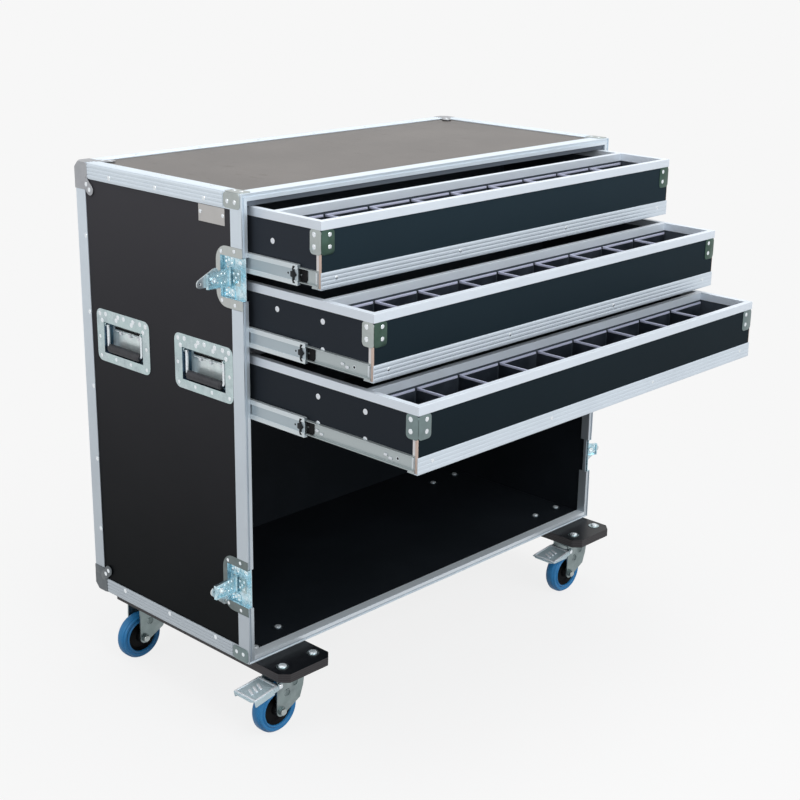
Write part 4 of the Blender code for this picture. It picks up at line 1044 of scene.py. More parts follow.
points += [(at(x, DEPTH - RIVET_INSET, HEIGHT), (0, 0, 1)) for x in BACK_RIVETS]
fasteners("case_rivets", "case", points, 0.0048, 0.0008, 1.5)

# %% [markdown]
# Flat steel braces clasp the front corners: one leaf on the side, one folded over the top or the underside,
# with rounded ends and two rivets each.

# %% Front braces
BRACE_SHEET = 0.0010
BRACE_HEIGHT = 0.028
BRACE_START = 0.003
BRACE_ROUND = 0.007
BRACE_RIVETS = (0.0166, 0.036)
BRACE_RIVET_DROP = 0.016
CORNERS = [(side, z, up) for side in SIDES.values() for z, up in ((0.0, -1), (HEIGHT, 1))]
brace_length = BRACE_END - BRACE_START
brace_middle = (BRACE_START + BRACE_END) / 2
braces = Bench(brace_zinc, brace_painted_shade)
brace_points = []
for side, z, up in CORNERS:
    leaf = rounded(brace_length / 2, BRACE_HEIGHT / 2, BRACE_ROUND)
    upright = facing_out(side, brace_middle, z - up * BRACE_HEIGHT / 2)
    # Upright leaves at the lower corners get the darker copy: painted shade.
    braces.slab(leaf, BRACE_SHEET, upright, 0 if up > 0 else 1)
    flat = rounded(BRACE_HEIGHT / 2, brace_length / 2, BRACE_ROUND)
    braces.slab(flat, BRACE_SHEET, facing_up(side * (HALF - BRACE_HEIGHT / 2), brace_middle, z, up))
    for y in BRACE_RIVETS:
        beside = at(side * (HALF + BRACE_SHEET), y, z - up * BRACE_RIVET_DROP)
        over = at(side * (HALF - BRACE_RIVET_DROP), y, z + up * BRACE_SHEET)
        brace_points += [(beside, (side, 0, 0), 0.95), (over, (0, 0, up), 0.95)]
braces.made("front_corner_braces", "case", "zinc_plated_steel")
print("front braces with", len(brace_points), "rivets")

# %% [markdown]
# At the back, each pressed cap carries round lobes that reach over the panels: on the side, on the back and,
# at the upper corners, on the top. Two rivets hold each lobe on the side and on the top. A skirt runs down
# both faces of the corner, and a collar stands where the cap meets the side extrusion.

# %% Rear lobes, skirts and collars
SKIRT = 0.018
COLLAR = 0.006
CAP_SINK = 0.0002
CAP_LAP = 0.0004
LOBE_PROUD = CAP_PROUD + 0.0003
LOBE_IN = 0.041
LOBE_DROP = 0.0455
LOBE_RIVET = 0.0068
TAB_ENDS = ((0.0072, 0.0108, -90), (-0.0170, 0.0096, 90))
TAB = [point for x, radius, start in TAB_ENDS for point in arc((x, 0.0), radius, start, start + 180, 8)]
lobes = Bench(cap_zinc, cap_painted_shade)


def turned_flat(degrees):
    return Matrix.Rotation(radians(degrees), 4, "Z")


for side, z, up in CORNERS:
    # Lobes at the lower corners get the darker copy: painted shade.
    low = 0 if up > 0 else 1
    outside = facing_out(side, DEPTH - LOBE_IN, z - up * LOBE_DROP) @ turned_flat(180 + 45 * up)
    lobes.slab(TAB, LOBE_PROUD, outside, low)
    behind = Matrix.Translation(at(side * (HALF - LOBE_IN), DEPTH, z - up * LOBE_DROP))
    behind @= Matrix(((1, 0, 0, 0), (0, 0, 1, 0), (0, 1, 0, 0), (0, 0, 0, 1)))
    lobes.slab(TAB, LOBE_PROUD, behind @ turned_flat(-up * (90 + 45 * side)), low)
    for reach in (-LOBE_RIVET, LOBE_RIVET):
        brace_points.append((outside @ Vector((reach, 0, LOBE_PROUD)), (side, 0, 0), 1.05))
    sunk, proud = side * (HALF - CAP_SINK), side * (HALF + CAP_PROUD)
    skirt_top, skirt_foot = z - up * (CAP_REACH - CAP_LAP), z - up * (CAP_REACH + SKIRT)
    lobes.block(at(sunk, DEPTH - FLANGE, skirt_top), at(proud, DEPTH + CAP_PROUD, skirt_foot), low, 0.0005)
    lobes.block(at(sunk, DEPTH - CAP_REACH - COLLAR, z),
                at(side * (HALF + LOBE_PROUD), DEPTH - CAP_REACH + CAP_LAP, z - up * FLANGE), low, 0.0004)
    lobes.block(at(side * (HALF - FLANGE), DEPTH - CAP_SINK, skirt_top),
                at(proud, DEPTH + CAP_PROUD, skirt_foot), low, 0.0005)
    if up > 0:
        above = facing_up(side * (HALF - LOBE_IN), DEPTH - LOBE_DROP, HEIGHT) @ turned_flat(-90 - 45 * side)
        lobes.slab(TAB, LOBE_PROUD, above)
        for reach in (-LOBE_RIVET, LOBE_RIVET):
            brace_points.append((above @ Vector((reach, 0, LOBE_PROUD - CAP_SINK)), (0, 0, 1), 0.9))
lobes.made("rear_cap_lobes", "case", "zinc_plated_steel")
print("rear caps dressed")

# %% [markdown]
# A bare metal plate for a label sits under the top extrusion of the left side, held by two rivets. They join
# the rivets of the braces and lobes in one piece.

# %% Label plate
PLATE_Y, PLATE_Z = (0.046, 0.118), (0.838, 0.869)
PLATE_SHEET = 0.0010
PLATE_RIVET_IN, PLATE_RIVET_UP = 0.005, 0.002
plate_middle = (sum(PLATE_Y) / 2, sum(PLATE_Z) / 2)
plate_outline = rounded((PLATE_Y[1] - PLATE_Y[0]) / 2, (PLATE_Z[1] - PLATE_Z[0]) / 2, 0.001)
plate = Bench(plate_metal)
plate.slab(plate_outline, PLATE_SHEET, facing_out(-1, *plate_middle, -FACE))
plate.made("label_plate", "case", "brushed_aluminium")
for y in (PLATE_Y[0] + PLATE_RIVET_IN, PLATE_Y[1] - PLATE_RIVET_IN):
    spot = at(-(HALF - FACE + PLATE_SHEET), y, plate_middle[1] + PLATE_RIVET_UP)
    brace_points.append((spot, (-1, 0, 0), 0.85))
fasteners("brace_rivets", "case", brace_points)

# %% [markdown]
# Each side has two recessed handles. The dish is one pressed plate, riveted to the ply all round, with two
# rows of rivets along the top where the spring bracket sits behind it. Inside lie a slot, drawn as a dark
# slab of painted shadow, the spring's rod with its bright pips, and the heads of the hinge rod.

# %% Handle dishes, their rivets and springs
BAIL_HALF = 0.053
BAIL_DROP = 0.047
BAIL_ROD = 0.003
GRIP_RADIUS = 0.0085
DISH_FLANGE = 0.0022
SLOT_DEPTH, SLOT_DROP = 0.0172, 0.0075
SPRING_DEPTH, SPRING_DROP = 0.0125, 0.0112
SPRING_HALF, SPRING_ROD = 0.046, 0.0011
PIPS = (-0.038, -0.008, 0.022)
PIP_HALF, PIP_FOOT, PIP_HEAD = 0.0030, 0.0050, 0.0012
HINGE_HEAD = ((0.0, 0.0005), (0.0044, 0.0004), (0.0046, 0.0), (0.0044, -0.0004), (0.0, -0.0005))
HINGE_HEAD_OUT = 0.0038
BIG_RIVETS_ABOVE = 0.025
DISH_RIVETS = [(sy * 0.073, sz * 0.043) for sy in (-1, 1) for sz in (-1, 1)]
DISH_RIVETS += [(y, 0.0445) for y in (-0.056, -0.034, -0.004, 0.014, 0.054)]
DISH_RIVETS += [(y, 0.0375) for y in (-0.029, 0.020)] + [(-0.065, 0.030), (0.066, 0.030)]
DISH_RIVETS += [(-0.074, -0.002), (0.075, -0.004), (-0.023, -0.043), (0.025, -0.043)]
pivots = {joint["name"]: Vector(joint["pos_m"]) for joint in frame["joints"] if "pos_m" in joint}


def dish_finish(side):
    def choose(centre, normal):
        if HALF - centre.x * side < DISH_FLANGE:
            return 0
        return 2 if normal.y < -0.5 or normal.z > 0.5 else 1
    return choose


def spring(bench, side, face, pivot):
    """The heads of the hinge rod, the slot behind the bail as a dark slab of painted shadow, and the spring's
    rod with its pips.
    """
    for end in (-1, 1):
        bench.turned(HINGE_HEAD, facing_y(pivot + Vector((0, end * (BAIL_HALF + HINGE_HEAD_OUT), 0))))
    slot = on_side(side, (side * (face - SLOT_DEPTH), pivot.y, pivot.z - SLOT_DROP))
    bench.slab(rounded(0.0480, 0.0024, 0.0006), 0.0008, slot, 2, 0.0001)
    back = Vector((side * (face - SPRING_DEPTH), pivot.y, pivot.z - SPRING_DROP))
    bench.rod([back + Vector((0, end * SPRING_HALF, 0)) for end in (-1, 1)], SPRING_ROD, 1)
    for y in PIPS:
        bench.block(back + Vector((-PIP_HALF, y - PIP_HALF, -PIP_FOOT)),
                    back + Vector((PIP_HALF, y + PIP_HALF, PIP_HEAD)), 3)


for side_name, side in SIDES.items():
    points = []
    springs = Bench(dish_zinc, rivet_steel, painted_shadow_and_black_plastic, screw_white)
    for place in ("front", "rear"):
        name = "%s_%s_handle" % (side_name, place)
        refined(name + "_dish", (dish_zinc, pan_zinc, pan_shade), dish_finish(side),
                0.0005)
        low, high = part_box(name + "_dish")
        middle = (low + high) / 2
        face = max(abs(low.x), abs(high.x))
        for y, z in DISH_RIVETS:
            spot = Vector((side * face, middle.y + y, middle.z + z))
            points.append((spot, (side, 0, 0), 1.25 if z > BIG_RIVETS_ABOVE else 1.0))
        spring(springs, side, face, pivots[name + "_lift"])
    springs.made(side_name + "_handle_springs", "case", "zinc_plated_steel")
    fasteners(side_name + "_dish_rivets", "case", points, radius=0.0038, height=0.0005, crown=1.5)

# %% [markdown]
# The bail is a bent steel rod with a ribbed rubber grip, and both ride on the bail's own body. A grip's ribs
# run round it in even steps, so a third small tree makes it: its item is a cylinder with many rings, each
# ring drawn in by a wave of its height, and eased in at both ends.


# %% The tree that makes ribbed grips
def grip_tree():
    inputs = {"Radius": "Float", "Length": "Float", "Ribs": "Int", "Rib Height": "Float"}
    g, given = points_tree("Ribbed Grips", inputs, "Grips")
    rings = g.maths("MULTIPLY", given["Ribs"], 6.0)
    body = g.add("GeometryNodeMeshCylinder", {"Vertices": 28, "Side Segments": rings,
                                              "Radius": given["Radius"], "Depth": given["Length"]})
    spot = g.add("GeometryNodeInputPosition").outputs[0]
    height = g.add("ShaderNodeSeparateXYZ", {0: spot}).outputs["Z"]
    share = g.maths("DIVIDE", height, given["Length"])
    wave = g.maths("COSINE", g.maths("MULTIPLY", share, g.maths("MULTIPLY", given["Ribs"], 2 * pi)))
    dip = g.maths("MULTIPLY", g.maths("SUBTRACT", wave, 1.0), 0.5)
    out = g.maths("DIVIDE", g.maths("ABSOLUTE", height), g.maths("MULTIPLY", given["Length"], 0.5))
    near_end = g.maths("MULTIPLY", g.maths("SUBTRACT", 1.0, out), 16.0)
    ease = g.maths("SUBTRACT", g.maths("MINIMUM", near_end, 1.0), 1.0)
    inward = g.maths("ADD", g.maths("MULTIPLY", dip, given["Rib Height"]), g.maths("MULTIPLY", ease, 0.0022))
    flat = g.vector("NORMALIZE", g.vector("MULTIPLY", spot, (1.0, 1.0, 0.0)))
    shaped = g.add("GeometryNodeSetPosition",
                   {"Geometry": body.outputs["Mesh"], "Offset": g.scaled(flat, inward)})
    stood_on_points(g, given, "Grips", shaped.outputs[0], turned_to(g, carried(g, "facing")))
    return g.tree


grips = grip_tree()

# %% Bails and their grips
GRIP_INPUTS = {"Radius": GRIP_RADIUS, "Length": 2 * (BAIL_HALF - BAIL_ROD - 0.0003), "Ribs": 26,
               "Rib Height": 0.0006, "Finish": grip_rubber}
BAIL_BEND = 0.007
for side_name in SIDES:
    for place in ("front", "rear"):
        name = "%s_%s_handle" % (side_name, place)
        body = name + "_bail"
        pivot = pivots[name + "_lift"]
        down = Vector((0, 0, -BAIL_DROP))
        start, stop = pivot + Vector((0, -BAIL_HALF, 0)), pivot + Vector((0, BAIL_HALF, 0))
        bail = Bench(rivet_steel)
        bail.rod([start, start + down, stop + down, stop], BAIL_ROD, 0, BAIL_BEND)
        bail.made(name + "_rod", body, "zinc_plated_steel", body)
        spot = [{"place": pivot + down, "facing": Vector((0, 1, 0))}]
        grown(name + "_grip", grips, spot, GRIP_INPUTS, body, 60)

# %% [markdown]
# The latches are recessed too. The dish is refined, with a greyer flange and a bluish pan. On the pan floor
# lie two cheek plates with clustered rivets, a ring rivet near the front, the fixed leaf of the hinge with
# its barrel, and a thin upright ledge at the back.

# %% Latch dishes and the fixed mechanism
POCKET_DEPTH = 0.0085
BARREL_HALF = 0.0150
BARREL_RADIUS = 0.0031
CHEEK_SHEET, CHEEK_Y, CHEEK_OUT = 0.0012, 0.0445, 0.0292
LEAF_SHEET, PAD_SHEET, LEAF_Y = 0.0014, 0.00035, 0.0250
LEDGE_LOW, LEDGE_HIGH = (0.0084, 0.0535, -0.0165), (0.0060, 0.0550, 0.0165)
RING_Y, RING_UP = 0.0150, 0.0270
FLANGE_RIVETS = [(0.057, 0.0445), (0.0215, 0.0485)]
CHEEK_RIVETS = ((0.036, 0.0245), (0.044, 0.030), (0.036, 0.0335), (0.052, 0.0265), (0.052, 0.0340))
LEAF_RIVETS = ((0.032, 0.0065), (0.032, -0.0065), (0.020, 0.0075), (0.020, -0.0075), (0.026, 0.0))


def latch_finish(side):
    return lambda c, n: 1 if HALF - c.x * side > FACE else 0


for side_name, side in SIDES.items():
    plates = Bench(latch_zinc, flange_zinc, dish_zinc)
    flange_points, floor_points, rings = [], [], []
    out = (side, 0, 0)
    floor_x = side * (HALF - POCKET_DEPTH)
    for place in ("upper", "lower"):
        name = "%s_%s_latch" % (side_name, place)
        # The lower latch's flange gets the darker copy: painted shade.
        flange = flange_zinc if place == "upper" else flange_painted_shade
        refined(name + "_dish", (flange, latch_zinc), latch_finish(side), 0.0004)
        barrel = pivots[name + "_swing"]
        z = barrel.z - BASE
        for up in (-1, 1):
            cheek = facing_out(side, CHEEK_Y, z + up * CHEEK_OUT, -POCKET_DEPTH)
            plates.slab(rounded(0.0145, 0.0080, 0.003), CHEEK_SHEET, cheek)
            flange_points += [(at(side * HALF, y, z + up * r), out) for y, r in FLANGE_RIVETS]
            floor_points += [(at(floor_x + side * CHEEK_SHEET, y, z + up * r), out) for y, r in CHEEK_RIVETS]
        leaf = facing_out(side, LEAF_Y, z, -POCKET_DEPTH)
        plates.slab(rounded(0.0105, 0.0150, 0.002), PAD_SHEET, leaf, 2, 0.0001)
        leaf = facing_out(side, LEAF_Y + 0.0002, z, -POCKET_DEPTH)
        plates.slab(rounded(0.0095, 0.0100, 0.002), LEAF_SHEET, leaf, 2)
        plates.rod([barrel + Vector((0, 0, end * BARREL_HALF)) for end in (-1, 1)], BARREL_RADIUS, 1)
        floor_points += [(at(floor_x + side * LEAF_SHEET, y, z + r), out, 0.9) for y, r in LEAF_RIVETS]
        plates.block(*[at(side * (HALF - d), y, z + r) for d, y, r in (LEDGE_LOW, LEDGE_HIGH)])
        rings.append((at(floor_x, RING_Y, z + RING_UP), out))
    plates.made(side_name + "_latch_plates", "case", "zinc_plated_steel")
    fasteners(side_name + "_latch_flange_rivets", "case", flange_points, radius=0.0036, height=0.0005)
    fasteners(side_name + "_latch_floor_rivets", "case", floor_points, 0.0026, 0.0006, 1.4, metal=latch_rivet)
    fasteners(side_name + "_latch_ring_rivets", "case", rings, 0.0052, 0.0010, 0.8, 0.9, metal=latch_rivet)

# %% [markdown]
# The arm is a pressed channel, refined from its solid, with a turned nut, two leaning ribs and rivets in its
# web. It swings, and the wing on its spindle turns, so each piece rides on its own body. Everything on an
# arm is placed in the hinge's own frame, turned by the angle that the arm stands at in the photograph.

# %% Latch arms and wings
ARM_SWING = {"left": 5.5, "right": 25.0}
ARM_FACE = 0.001
SPINDLE_REACH = 0.040
NUT = ((0.0, 0.0012), (0.0028, 0.0012), (0.0030, 0.0026), (0.0052, 0.0026), (0.0060, 0.0016), (0.0062, 0.0),
       (0.0, -0.0004))
HUB = ((0.0, 0.0024), (0.0030, 0.0023), (0.0052, 0.0016), (0.0062, 0.0), (0.0, -0.0004))
HUB_OUT = 0.0055
RIB_REACH, RIB_APART, RIB_LEAN = 0.0235, 0.0035, 9
ARM_RIVETS = ((0.0105, 0.0075), (0.0190, 0.0085), (0.0500, 0.0065), (0.0285, 0.0060))
for side_name, side in SIDES.items():
    for place in ("upper", "lower"):
        name = "%s_%s_latch" % (side_name, place)
        body, blade = name + "_arm", name + "_wing"
        refined(body, (latch_zinc,))
        swing = Matrix.Rotation(radians(-side * ARM_SWING[side_name]), 4, "Z")
        hinge = Matrix.Translation(pivots[name + "_swing"]) @ swing
        spindle = Bench(latch_zinc, latch_rivet)
        spindle.turned(NUT, hinge @ facing_y((side * SPINDLE_REACH, ARM_FACE, 0)), 1)
        for up in (-1, 1):
            lean = Matrix.Translation((side * RIB_REACH, 0, up * RIB_APART))
            lean @= Matrix.Rotation(radians(-up * side * RIB_LEAN), 4, "Y")
            outline = rounded(0.0130, 0.0014, 0.0013)
            spindle.slab(outline, 0.0007, hinge @ lean @ facing_y((0, ARM_FACE, 0)), 0, 0.0002)
        spindle.made(body + "_spindle", body, "zinc_plated_steel")
        facing = hinge.to_3x3() @ Vector((0, -1, 0))
        points = [(hinge @ Vector((side * x, ARM_FACE, z * up)), facing) for x, z in ARM_RIVETS
                  for up in (1, -1)]
        fasteners(body + "_rivets", body, points, 0.0022, 0.0006, 1.3, metal=latch_rivet)
        refined(blade, (wing_zinc,), edge=0.0004)
        hub = Bench(wing_zinc)
        hub.turned(HUB, hinge @ facing_y((side * SPINDLE_REACH, HUB_OUT, 0), 1))
        hub.made(blade + "_hub", blade, "zinc_plated_steel")
print("latches dressed")

# %% [markdown]
# The three drawers are alike and stand open by different amounts, so everything on them is placed from the
# boxes of their own nodes. The box, the rim, the dividers and the runner frame are refined. The runner
# frame's front is the ribbed angle and its sides are slide members, so its finish and its grain change a
# little behind the front.

# %% Refine the drawers
ANGLE_HEIGHT = 0.030
ANGLE_BACK = 0.023
MEMBER_IN = 0.0224
RIB_SINK = 0.0006


def member_finish(front):
    return lambda c, n: 1 if HALF - abs(c.x) < MEMBER_IN or c.y > front + ANGLE_BACK else 0


def box_finish(front):
    def choose(centre, normal):
        if abs(normal.x) > 0.5:
            return 2 if normal.x * centre.x < 0 else 1
        if abs(normal.y) > 0.5:
            return 2 if (normal.y > 0) == (centre.y < front + 0.02) else 0
        return 2 if normal.z > 0.5 else 0
    return choose


def refine_drawer(name, front, face):
    """The angle's front face is sunk a little, to make room for its ribs."""
    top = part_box(name + "_dividers")[1].z
    refined(name + "_box", (drawer_film, drawer_side_film, inside_film), box_finish(front))
    refined(name + "_rim", (rim_metal,), edge=0.0004)
    # Divider faces get the painted shade; only their top faces get the pale edge finish.
    refined(name + "_dividers", (divider_painted_shade, divider_edge),
            lambda c, n: 1 if n.z > 0.5 and c.z > top - 0.001 else 0, 0.0002)
    refined(name + "_runner_frame", (angle_metal, member_steel), member_finish(front),
            0.0002, lambda co: co + Vector((0, RIB_SINK, 0)) if co.y < face + 0.0001 else co,
            lambda co: (1.0, 0.0, 0.0) if co.y < front + ANGLE_BACK else (0.0, 1.0, 0.0))


print("drawers can be refined")

# %% [markdown]
# The divider insert is a comb of sheets, and only its top edges show pale against the painted shade of its
# faces. They are thin strips of the pale edge finish: for each of the nine cells one on top of its long wall,
# one along the upper edge of each of that wall's faces, and two along the sheet that closes the comb at the
# back. The strips down the faces are a painted highlight, a lit band laid over the painted shade.

# %% Painted highlight trims on the dividers
CELL_COUNT = 9
WALL = 0.002
NOTCH = 0.006
TRIM = 0.0038
TRIM_LIFT = 0.0002


def divider_highlight_trims(name):
    low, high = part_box(name + "_dividers")
    pitch = (high.x - low.x - WALL) / CELL_COUNT
    leg_end = high.y - WALL
    long = leg_end - low.y
    centre_y, side_z = leg_end - long / 2, high.z - TRIM / 2
    wall_along, back_along, up = (0, 1, 0), (1, 0, 0), (0, 0, 1)
    rows = []
    for i in range(CELL_COUNT):
        leg = low.x + i * pitch
        free = pitch - WALL - (NOTCH if i < CELL_COUNT - 1 else 0.0)
        for x, facing in ((leg - TRIM_LIFT, -1), (leg + WALL + TRIM_LIFT, 1)):
            if i or facing > 0:
                rows.append((Vector((x, centre_y, side_z)), (facing, 0, 0), wall_along, long, TRIM))
        spot = Vector((leg + WALL / 2, centre_y, high.z))
        rows.append((spot, up, wall_along, long, WALL + 2 * TRIM_LIFT))
        middle = leg + WALL + free / 2
        rows.append((Vector((middle, leg_end - TRIM_LIFT, side_z)), (0, -1, 0), back_along, free, TRIM))
        rows.append((Vector((middle, leg_end + WALL / 2, high.z)), up, back_along, free, WALL + TRIM_LIFT))
    strips(name + "_divider_highlight_trims", name, rows, 1, 0.0002, divider_edge)


print("trims for", CELL_COUNT, "cells a drawer")

# %% [markdown]
# A folded brace clasps each front corner of a drawer, and below it the bare end of the front board shows its
# plywood layers. The lowest drawer's braces get the darker copy of the plating as painted shade, and on the
# others the leaves that look forwards get a dark green copy as a painted reflection.

# %% Corner braces and bare ends
BRACE_SIDE, BRACE_FRONT, BRACE_DROP = 0.028, 0.031, 0.0435
BRACE_CORNER = 0.0075
BRACE_LAP = 0.001
BRACE_RISE = 0.0006
LEAF_RIVET_DROPS = (0.0095, 0.0305)
SIDE_RIVET_IN, FRONT_RIVET_IN = 0.0165, 0.0190
BARE_WIDTH = 0.0115
BARE_FOOT, BARE_HEAD = 0.0017, 0.002


def corner_braces(name, wall, front, foot, top, leaf_metal, front_metal):
    """Braces and bare ends at both front corners; gives back where their rivets go."""
    corner = Bench(leaf_metal, bare_edge, front_metal, glue_edge)
    points = []
    for side in SIDES.values():
        z = top - BRACE_DROP / 2
        leaf = on_side(side, (side * wall, front + BRACE_SIDE / 2 - BRACE_LAP, z))
        corner.slab(rounded(BRACE_SIDE / 2, BRACE_DROP / 2, BRACE_CORNER), BRACE_SHEET, leaf)
        leaf = facing_y((side * (wall - BRACE_FRONT / 2 + BRACE_LAP), front, z))
        corner.slab(rounded(BRACE_FRONT / 2, BRACE_DROP / 2, BRACE_CORNER), BRACE_SHEET, leaf, 2)
        for drop in LEAF_RIVET_DROPS:
            beside = Vector((side * (wall + BRACE_SHEET), front + SIDE_RIVET_IN, top - drop))
            ahead = Vector((side * (wall - FRONT_RIVET_IN), front - BRACE_SHEET, top - drop))
            points += [(beside, (side, 0, 0), 1.15), (ahead, (0, -1, 0), 1.05)]
        start, middle, stop = front - 0.0002, front + BARE_WIDTH / 2, front + BARE_WIDTH
        low, high = foot + BARE_FOOT, top - BRACE_DROP + BARE_HEAD
        inner, outer = side * (wall - 0.0004), side * (wall + 0.0003)
        corner.block((inner, start, low), (outer, middle, high), 1, 0.0001)
        corner.block((inner, middle, low), (outer, stop, high), 3, 0.0001)
    corner.made(name + "_corner_braces", name, "zinc_plated_steel")
    return points


print("braces for", len(SIDES), "corners a drawer")

# %% [markdown]
# Now the drawers are dressed one after another. The angle along the front gets four ribs and four rivets, and
# white-headed screws hold the slides and the partition through the sides.

# %% Dress the three drawers
ANGLE_RIVETS = (0.035, 0.345, 0.655, 0.965)
ANGLE_RIVET_UP = 0.0175
ANGLE_OVER = 0.003
SCREW_RADIUS = 0.0052
SCREW_ROWS = {1: 0.066, 2: 0.0815, 3: 0.0805}
SCREW_LOW = 0.0312
SCREW_BACK = (0.1215, 0.2365)
for number in (1, 2, 3):
    name = "drawer_%d" % number
    box_low, box_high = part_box(name + "_box")
    frame_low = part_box(name + "_runner_frame")[0]
    front, foot = box_low.y, frame_low.z
    wall = max(abs(box_low.x), abs(box_high.x))
    refine_drawer(name, front, frame_low.y)
    width = box_high.x - box_low.x + ANGLE_OVER
    middle = Vector((0, frame_low.y + RIB_SINK, foot + ANGLE_HEIGHT / 2))
    row = (middle, (0, -1, 0), (1, 0, 0), width - 0.0006, ANGLE_HEIGHT - 0.001)
    strips(name + "_angle_ribs", name, [row], 4, RIB_SINK - 0.0002, angle_metal)
    points = [(Vector((width * (f - 0.5), frame_low.y + 0.0002, foot + ANGLE_RIVET_UP)), (0, -1, 0), 0.85)
              for f in ANGLE_RIVETS]
    divider_highlight_trims(name)
    # Painted shade for the lowest drawer's braces; a painted reflection on the others' forward leaves.
    brace_metals = (brace_painted_shade, brace_painted_shade) if number == 3 else (brace_zinc, brace_painted_reflection)
    points += corner_braces(name, wall, front, foot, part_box(name + "_rim")[0].z + BRACE_RISE, *brace_metals)
    fasteners(name + "_rivets", name, points, radius=0.0040, height=0.0005)
    screws = [(Vector((side * wall, front + y, foot + z)), (side, 0, 0)) for side in SIDES.values()
              for y in SCREW_BACK for z in (SCREW_ROWS[number], SCREW_LOW)]
    fasteners(name + "_screws", name, screws, SCREW_RADIUS, 0.0005, 0.8, 0.5, metal=screw_white)

# %% [markdown]
# An intermediate slide member has two rolled bands with bright edges and a web between them, which gets a
# darker copy of the steel as painted shade. Its plastic catch has an arrow head and two slim arms, at the
# front end of the web where a finger reaches it, and the end of the black ball retainer shows just past it.

# %% Shapes on the slides
WEB_DEPTH = 0.0152
MEMBER_WEB = 0.0226
TRACK_BAND = 0.0085
LINE_WIDTH = 0.0016
LINE_SINK = 0.0002
LINES_IN = (0.0009, TRACK_BAND - 0.0008)
CATCH_THICK = 0.0016
CATCH = [(0.0030, 0.0), (0.0085, 0.0058), (0.0088, 0.0108), (0.0058, 0.0138), (0.0066, 0.0152),
         (0.0118, 0.0150), (0.0134, 0.0105), (0.0130, 0.0056), (0.0178, 0.0046)]
CATCH += [(y, -z) for y, z in reversed(CATCH) if z]
RETAINER = [(-0.0168, 0.0072), (-0.0168, -0.0072), (-0.0142, -0.0114), (0.0010, -0.0114), (0.0010, -0.0016),
            (-0.0042, -0.0016), (-0.0042, 0.0016), (0.0010, 0.0016), (0.0010, 0.0114), (-0.0142, 0.0114)]
HOLE_PAST_CATCH = (0.0245, 0.0004)


def inboard(side, depth, y, z):
    """A place for an outline at a depth inboard of the side face."""
    return on_side(side, (side * (HALF - depth), y, z))


def slide_finish(middle, half):
    # The web between the bands gets the darker copy: painted shade.
    return lambda c, n: 0 if abs(c.z - middle) > half - TRACK_BAND - 0.0002 else 1


def catch_and_retainer(bench, side, end, z):
    bench.slab(CATCH, CATCH_THICK, inboard(side, WEB_DEPTH, end, z))
    past, up = HOLE_PAST_CATCH
    # A dark disc of painted shadow stands for a hole just past the catch.
    bench.slab(rounded(0.0018, 0.0018, 0.0017), 0.0002, inboard(side, WEB_DEPTH, end + past, z + up), 1, 0.0)
    bench.slab(RETAINER, 0.0010, inboard(side, MEMBER_WEB - 0.0004, end, z), 1, 0.0002)


print("catch outline with", len(CATCH), "corners")

# %% [markdown]
# The drawer member shows small pressed tongues and punched holes, and the light upright tab that is bent out
# at its front end. The tongues get a pale matte zinc as a painted highlight, and a hole is a dark disc of
# painted shadow in a lighter ring. Tongues that the intermediate member would cover are left off.

# %% Slides, catches and punched holes
TAB_BACK = 0.0080
TONGUES = ((0.0710, -0.0008), (0.0600, -0.0046))
TONGUE_STARTS = (0.0, 0.166)
TONGUE_CLEAR = 0.02
HOLE_BACK, HOLE_DROP = 0.0436, 0.0012


def member_marks(bench, side, front, end, z):
    tab = inboard(side, MEMBER_WEB - 0.0001, front + TAB_BACK, z)
    bench.slab(rounded(0.0013, 0.0098, 0.0006), 0.0030, tab, 1)
    for y, up in [(start + y, up) for start in TONGUE_STARTS for y, up in TONGUES]:
        if y < end - front - TONGUE_CLEAR:
            # A tongue gets the pale matte zinc: a painted highlight.
            spot = inboard(side, MEMBER_WEB, front + y, z + up)
            bench.slab(rounded(0.0042, 0.0025, 0.0023), 0.0016, spot, 2, 0.0006)
    spot = inboard(side, MEMBER_WEB, front + HOLE_BACK, z - HOLE_DROP)
    # The hole is a painted shadow: a dark disc in a lighter ring, not cut through.
    bench.slab(rounded(0.0036, 0.0036, 0.0035), 0.0003, spot, 1, 0.0)
    bench.slab(rounded(0.0022, 0.0022, 0.0021), 0.0004, spot, 0, 0.0)


for number in (1, 2, 3):
    slide, drawer = "slide_%d" % number, "drawer_%d" % number
    catches = Bench(catch_plastic, painted_shadow_and_black_plastic)
    marks = Bench(painted_shadow_and_black_plastic, track_steel, screw_white)
    rows = []
    for side_name, side in SIDES.items():
        node = slide + "_" + side_name
        low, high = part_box(node)
        z, half = (low.z + high.z) / 2, (high.z - low.z) / 2
        refined(node, (track_steel, web_painted_shade), slide_finish(z, half), 0.0004,
                grain=lambda co: (0.0, 1.0, 0.0))
        face = max(abs(low.x), abs(high.x)) - LINE_SINK
        for height in [up * (half - inset) for up in (-1, 1) for inset in LINES_IN]:
            spot = Vector((side * face, (low.y + high.y) / 2, z + height))
            rows.append((spot, (side, 0, 0), (0, 1, 0), high.y - low.y, LINE_WIDTH))
        catch_and_retainer(catches, side, low.y, z)
        member_marks(marks, side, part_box(drawer + "_box")[0].y, low.y, z)
    strips(slide + "_bright_lines", slide, rows, 1, 0.0001, track_steel)
    catches.made(slide + "_catches", slide, "black_rubber")
    marks.made(drawer + "_member_holes", drawer, "black_rubber")

# %% [markdown]
# The castor boards are plywood painted black, sawn at the corners, bolted through the case with cup-head
# bolts. The same bolts show on the board's overhang, where their washers shine, and again on the floor of
# the bay, where their washers get a dark copy of the steel as painted shade.

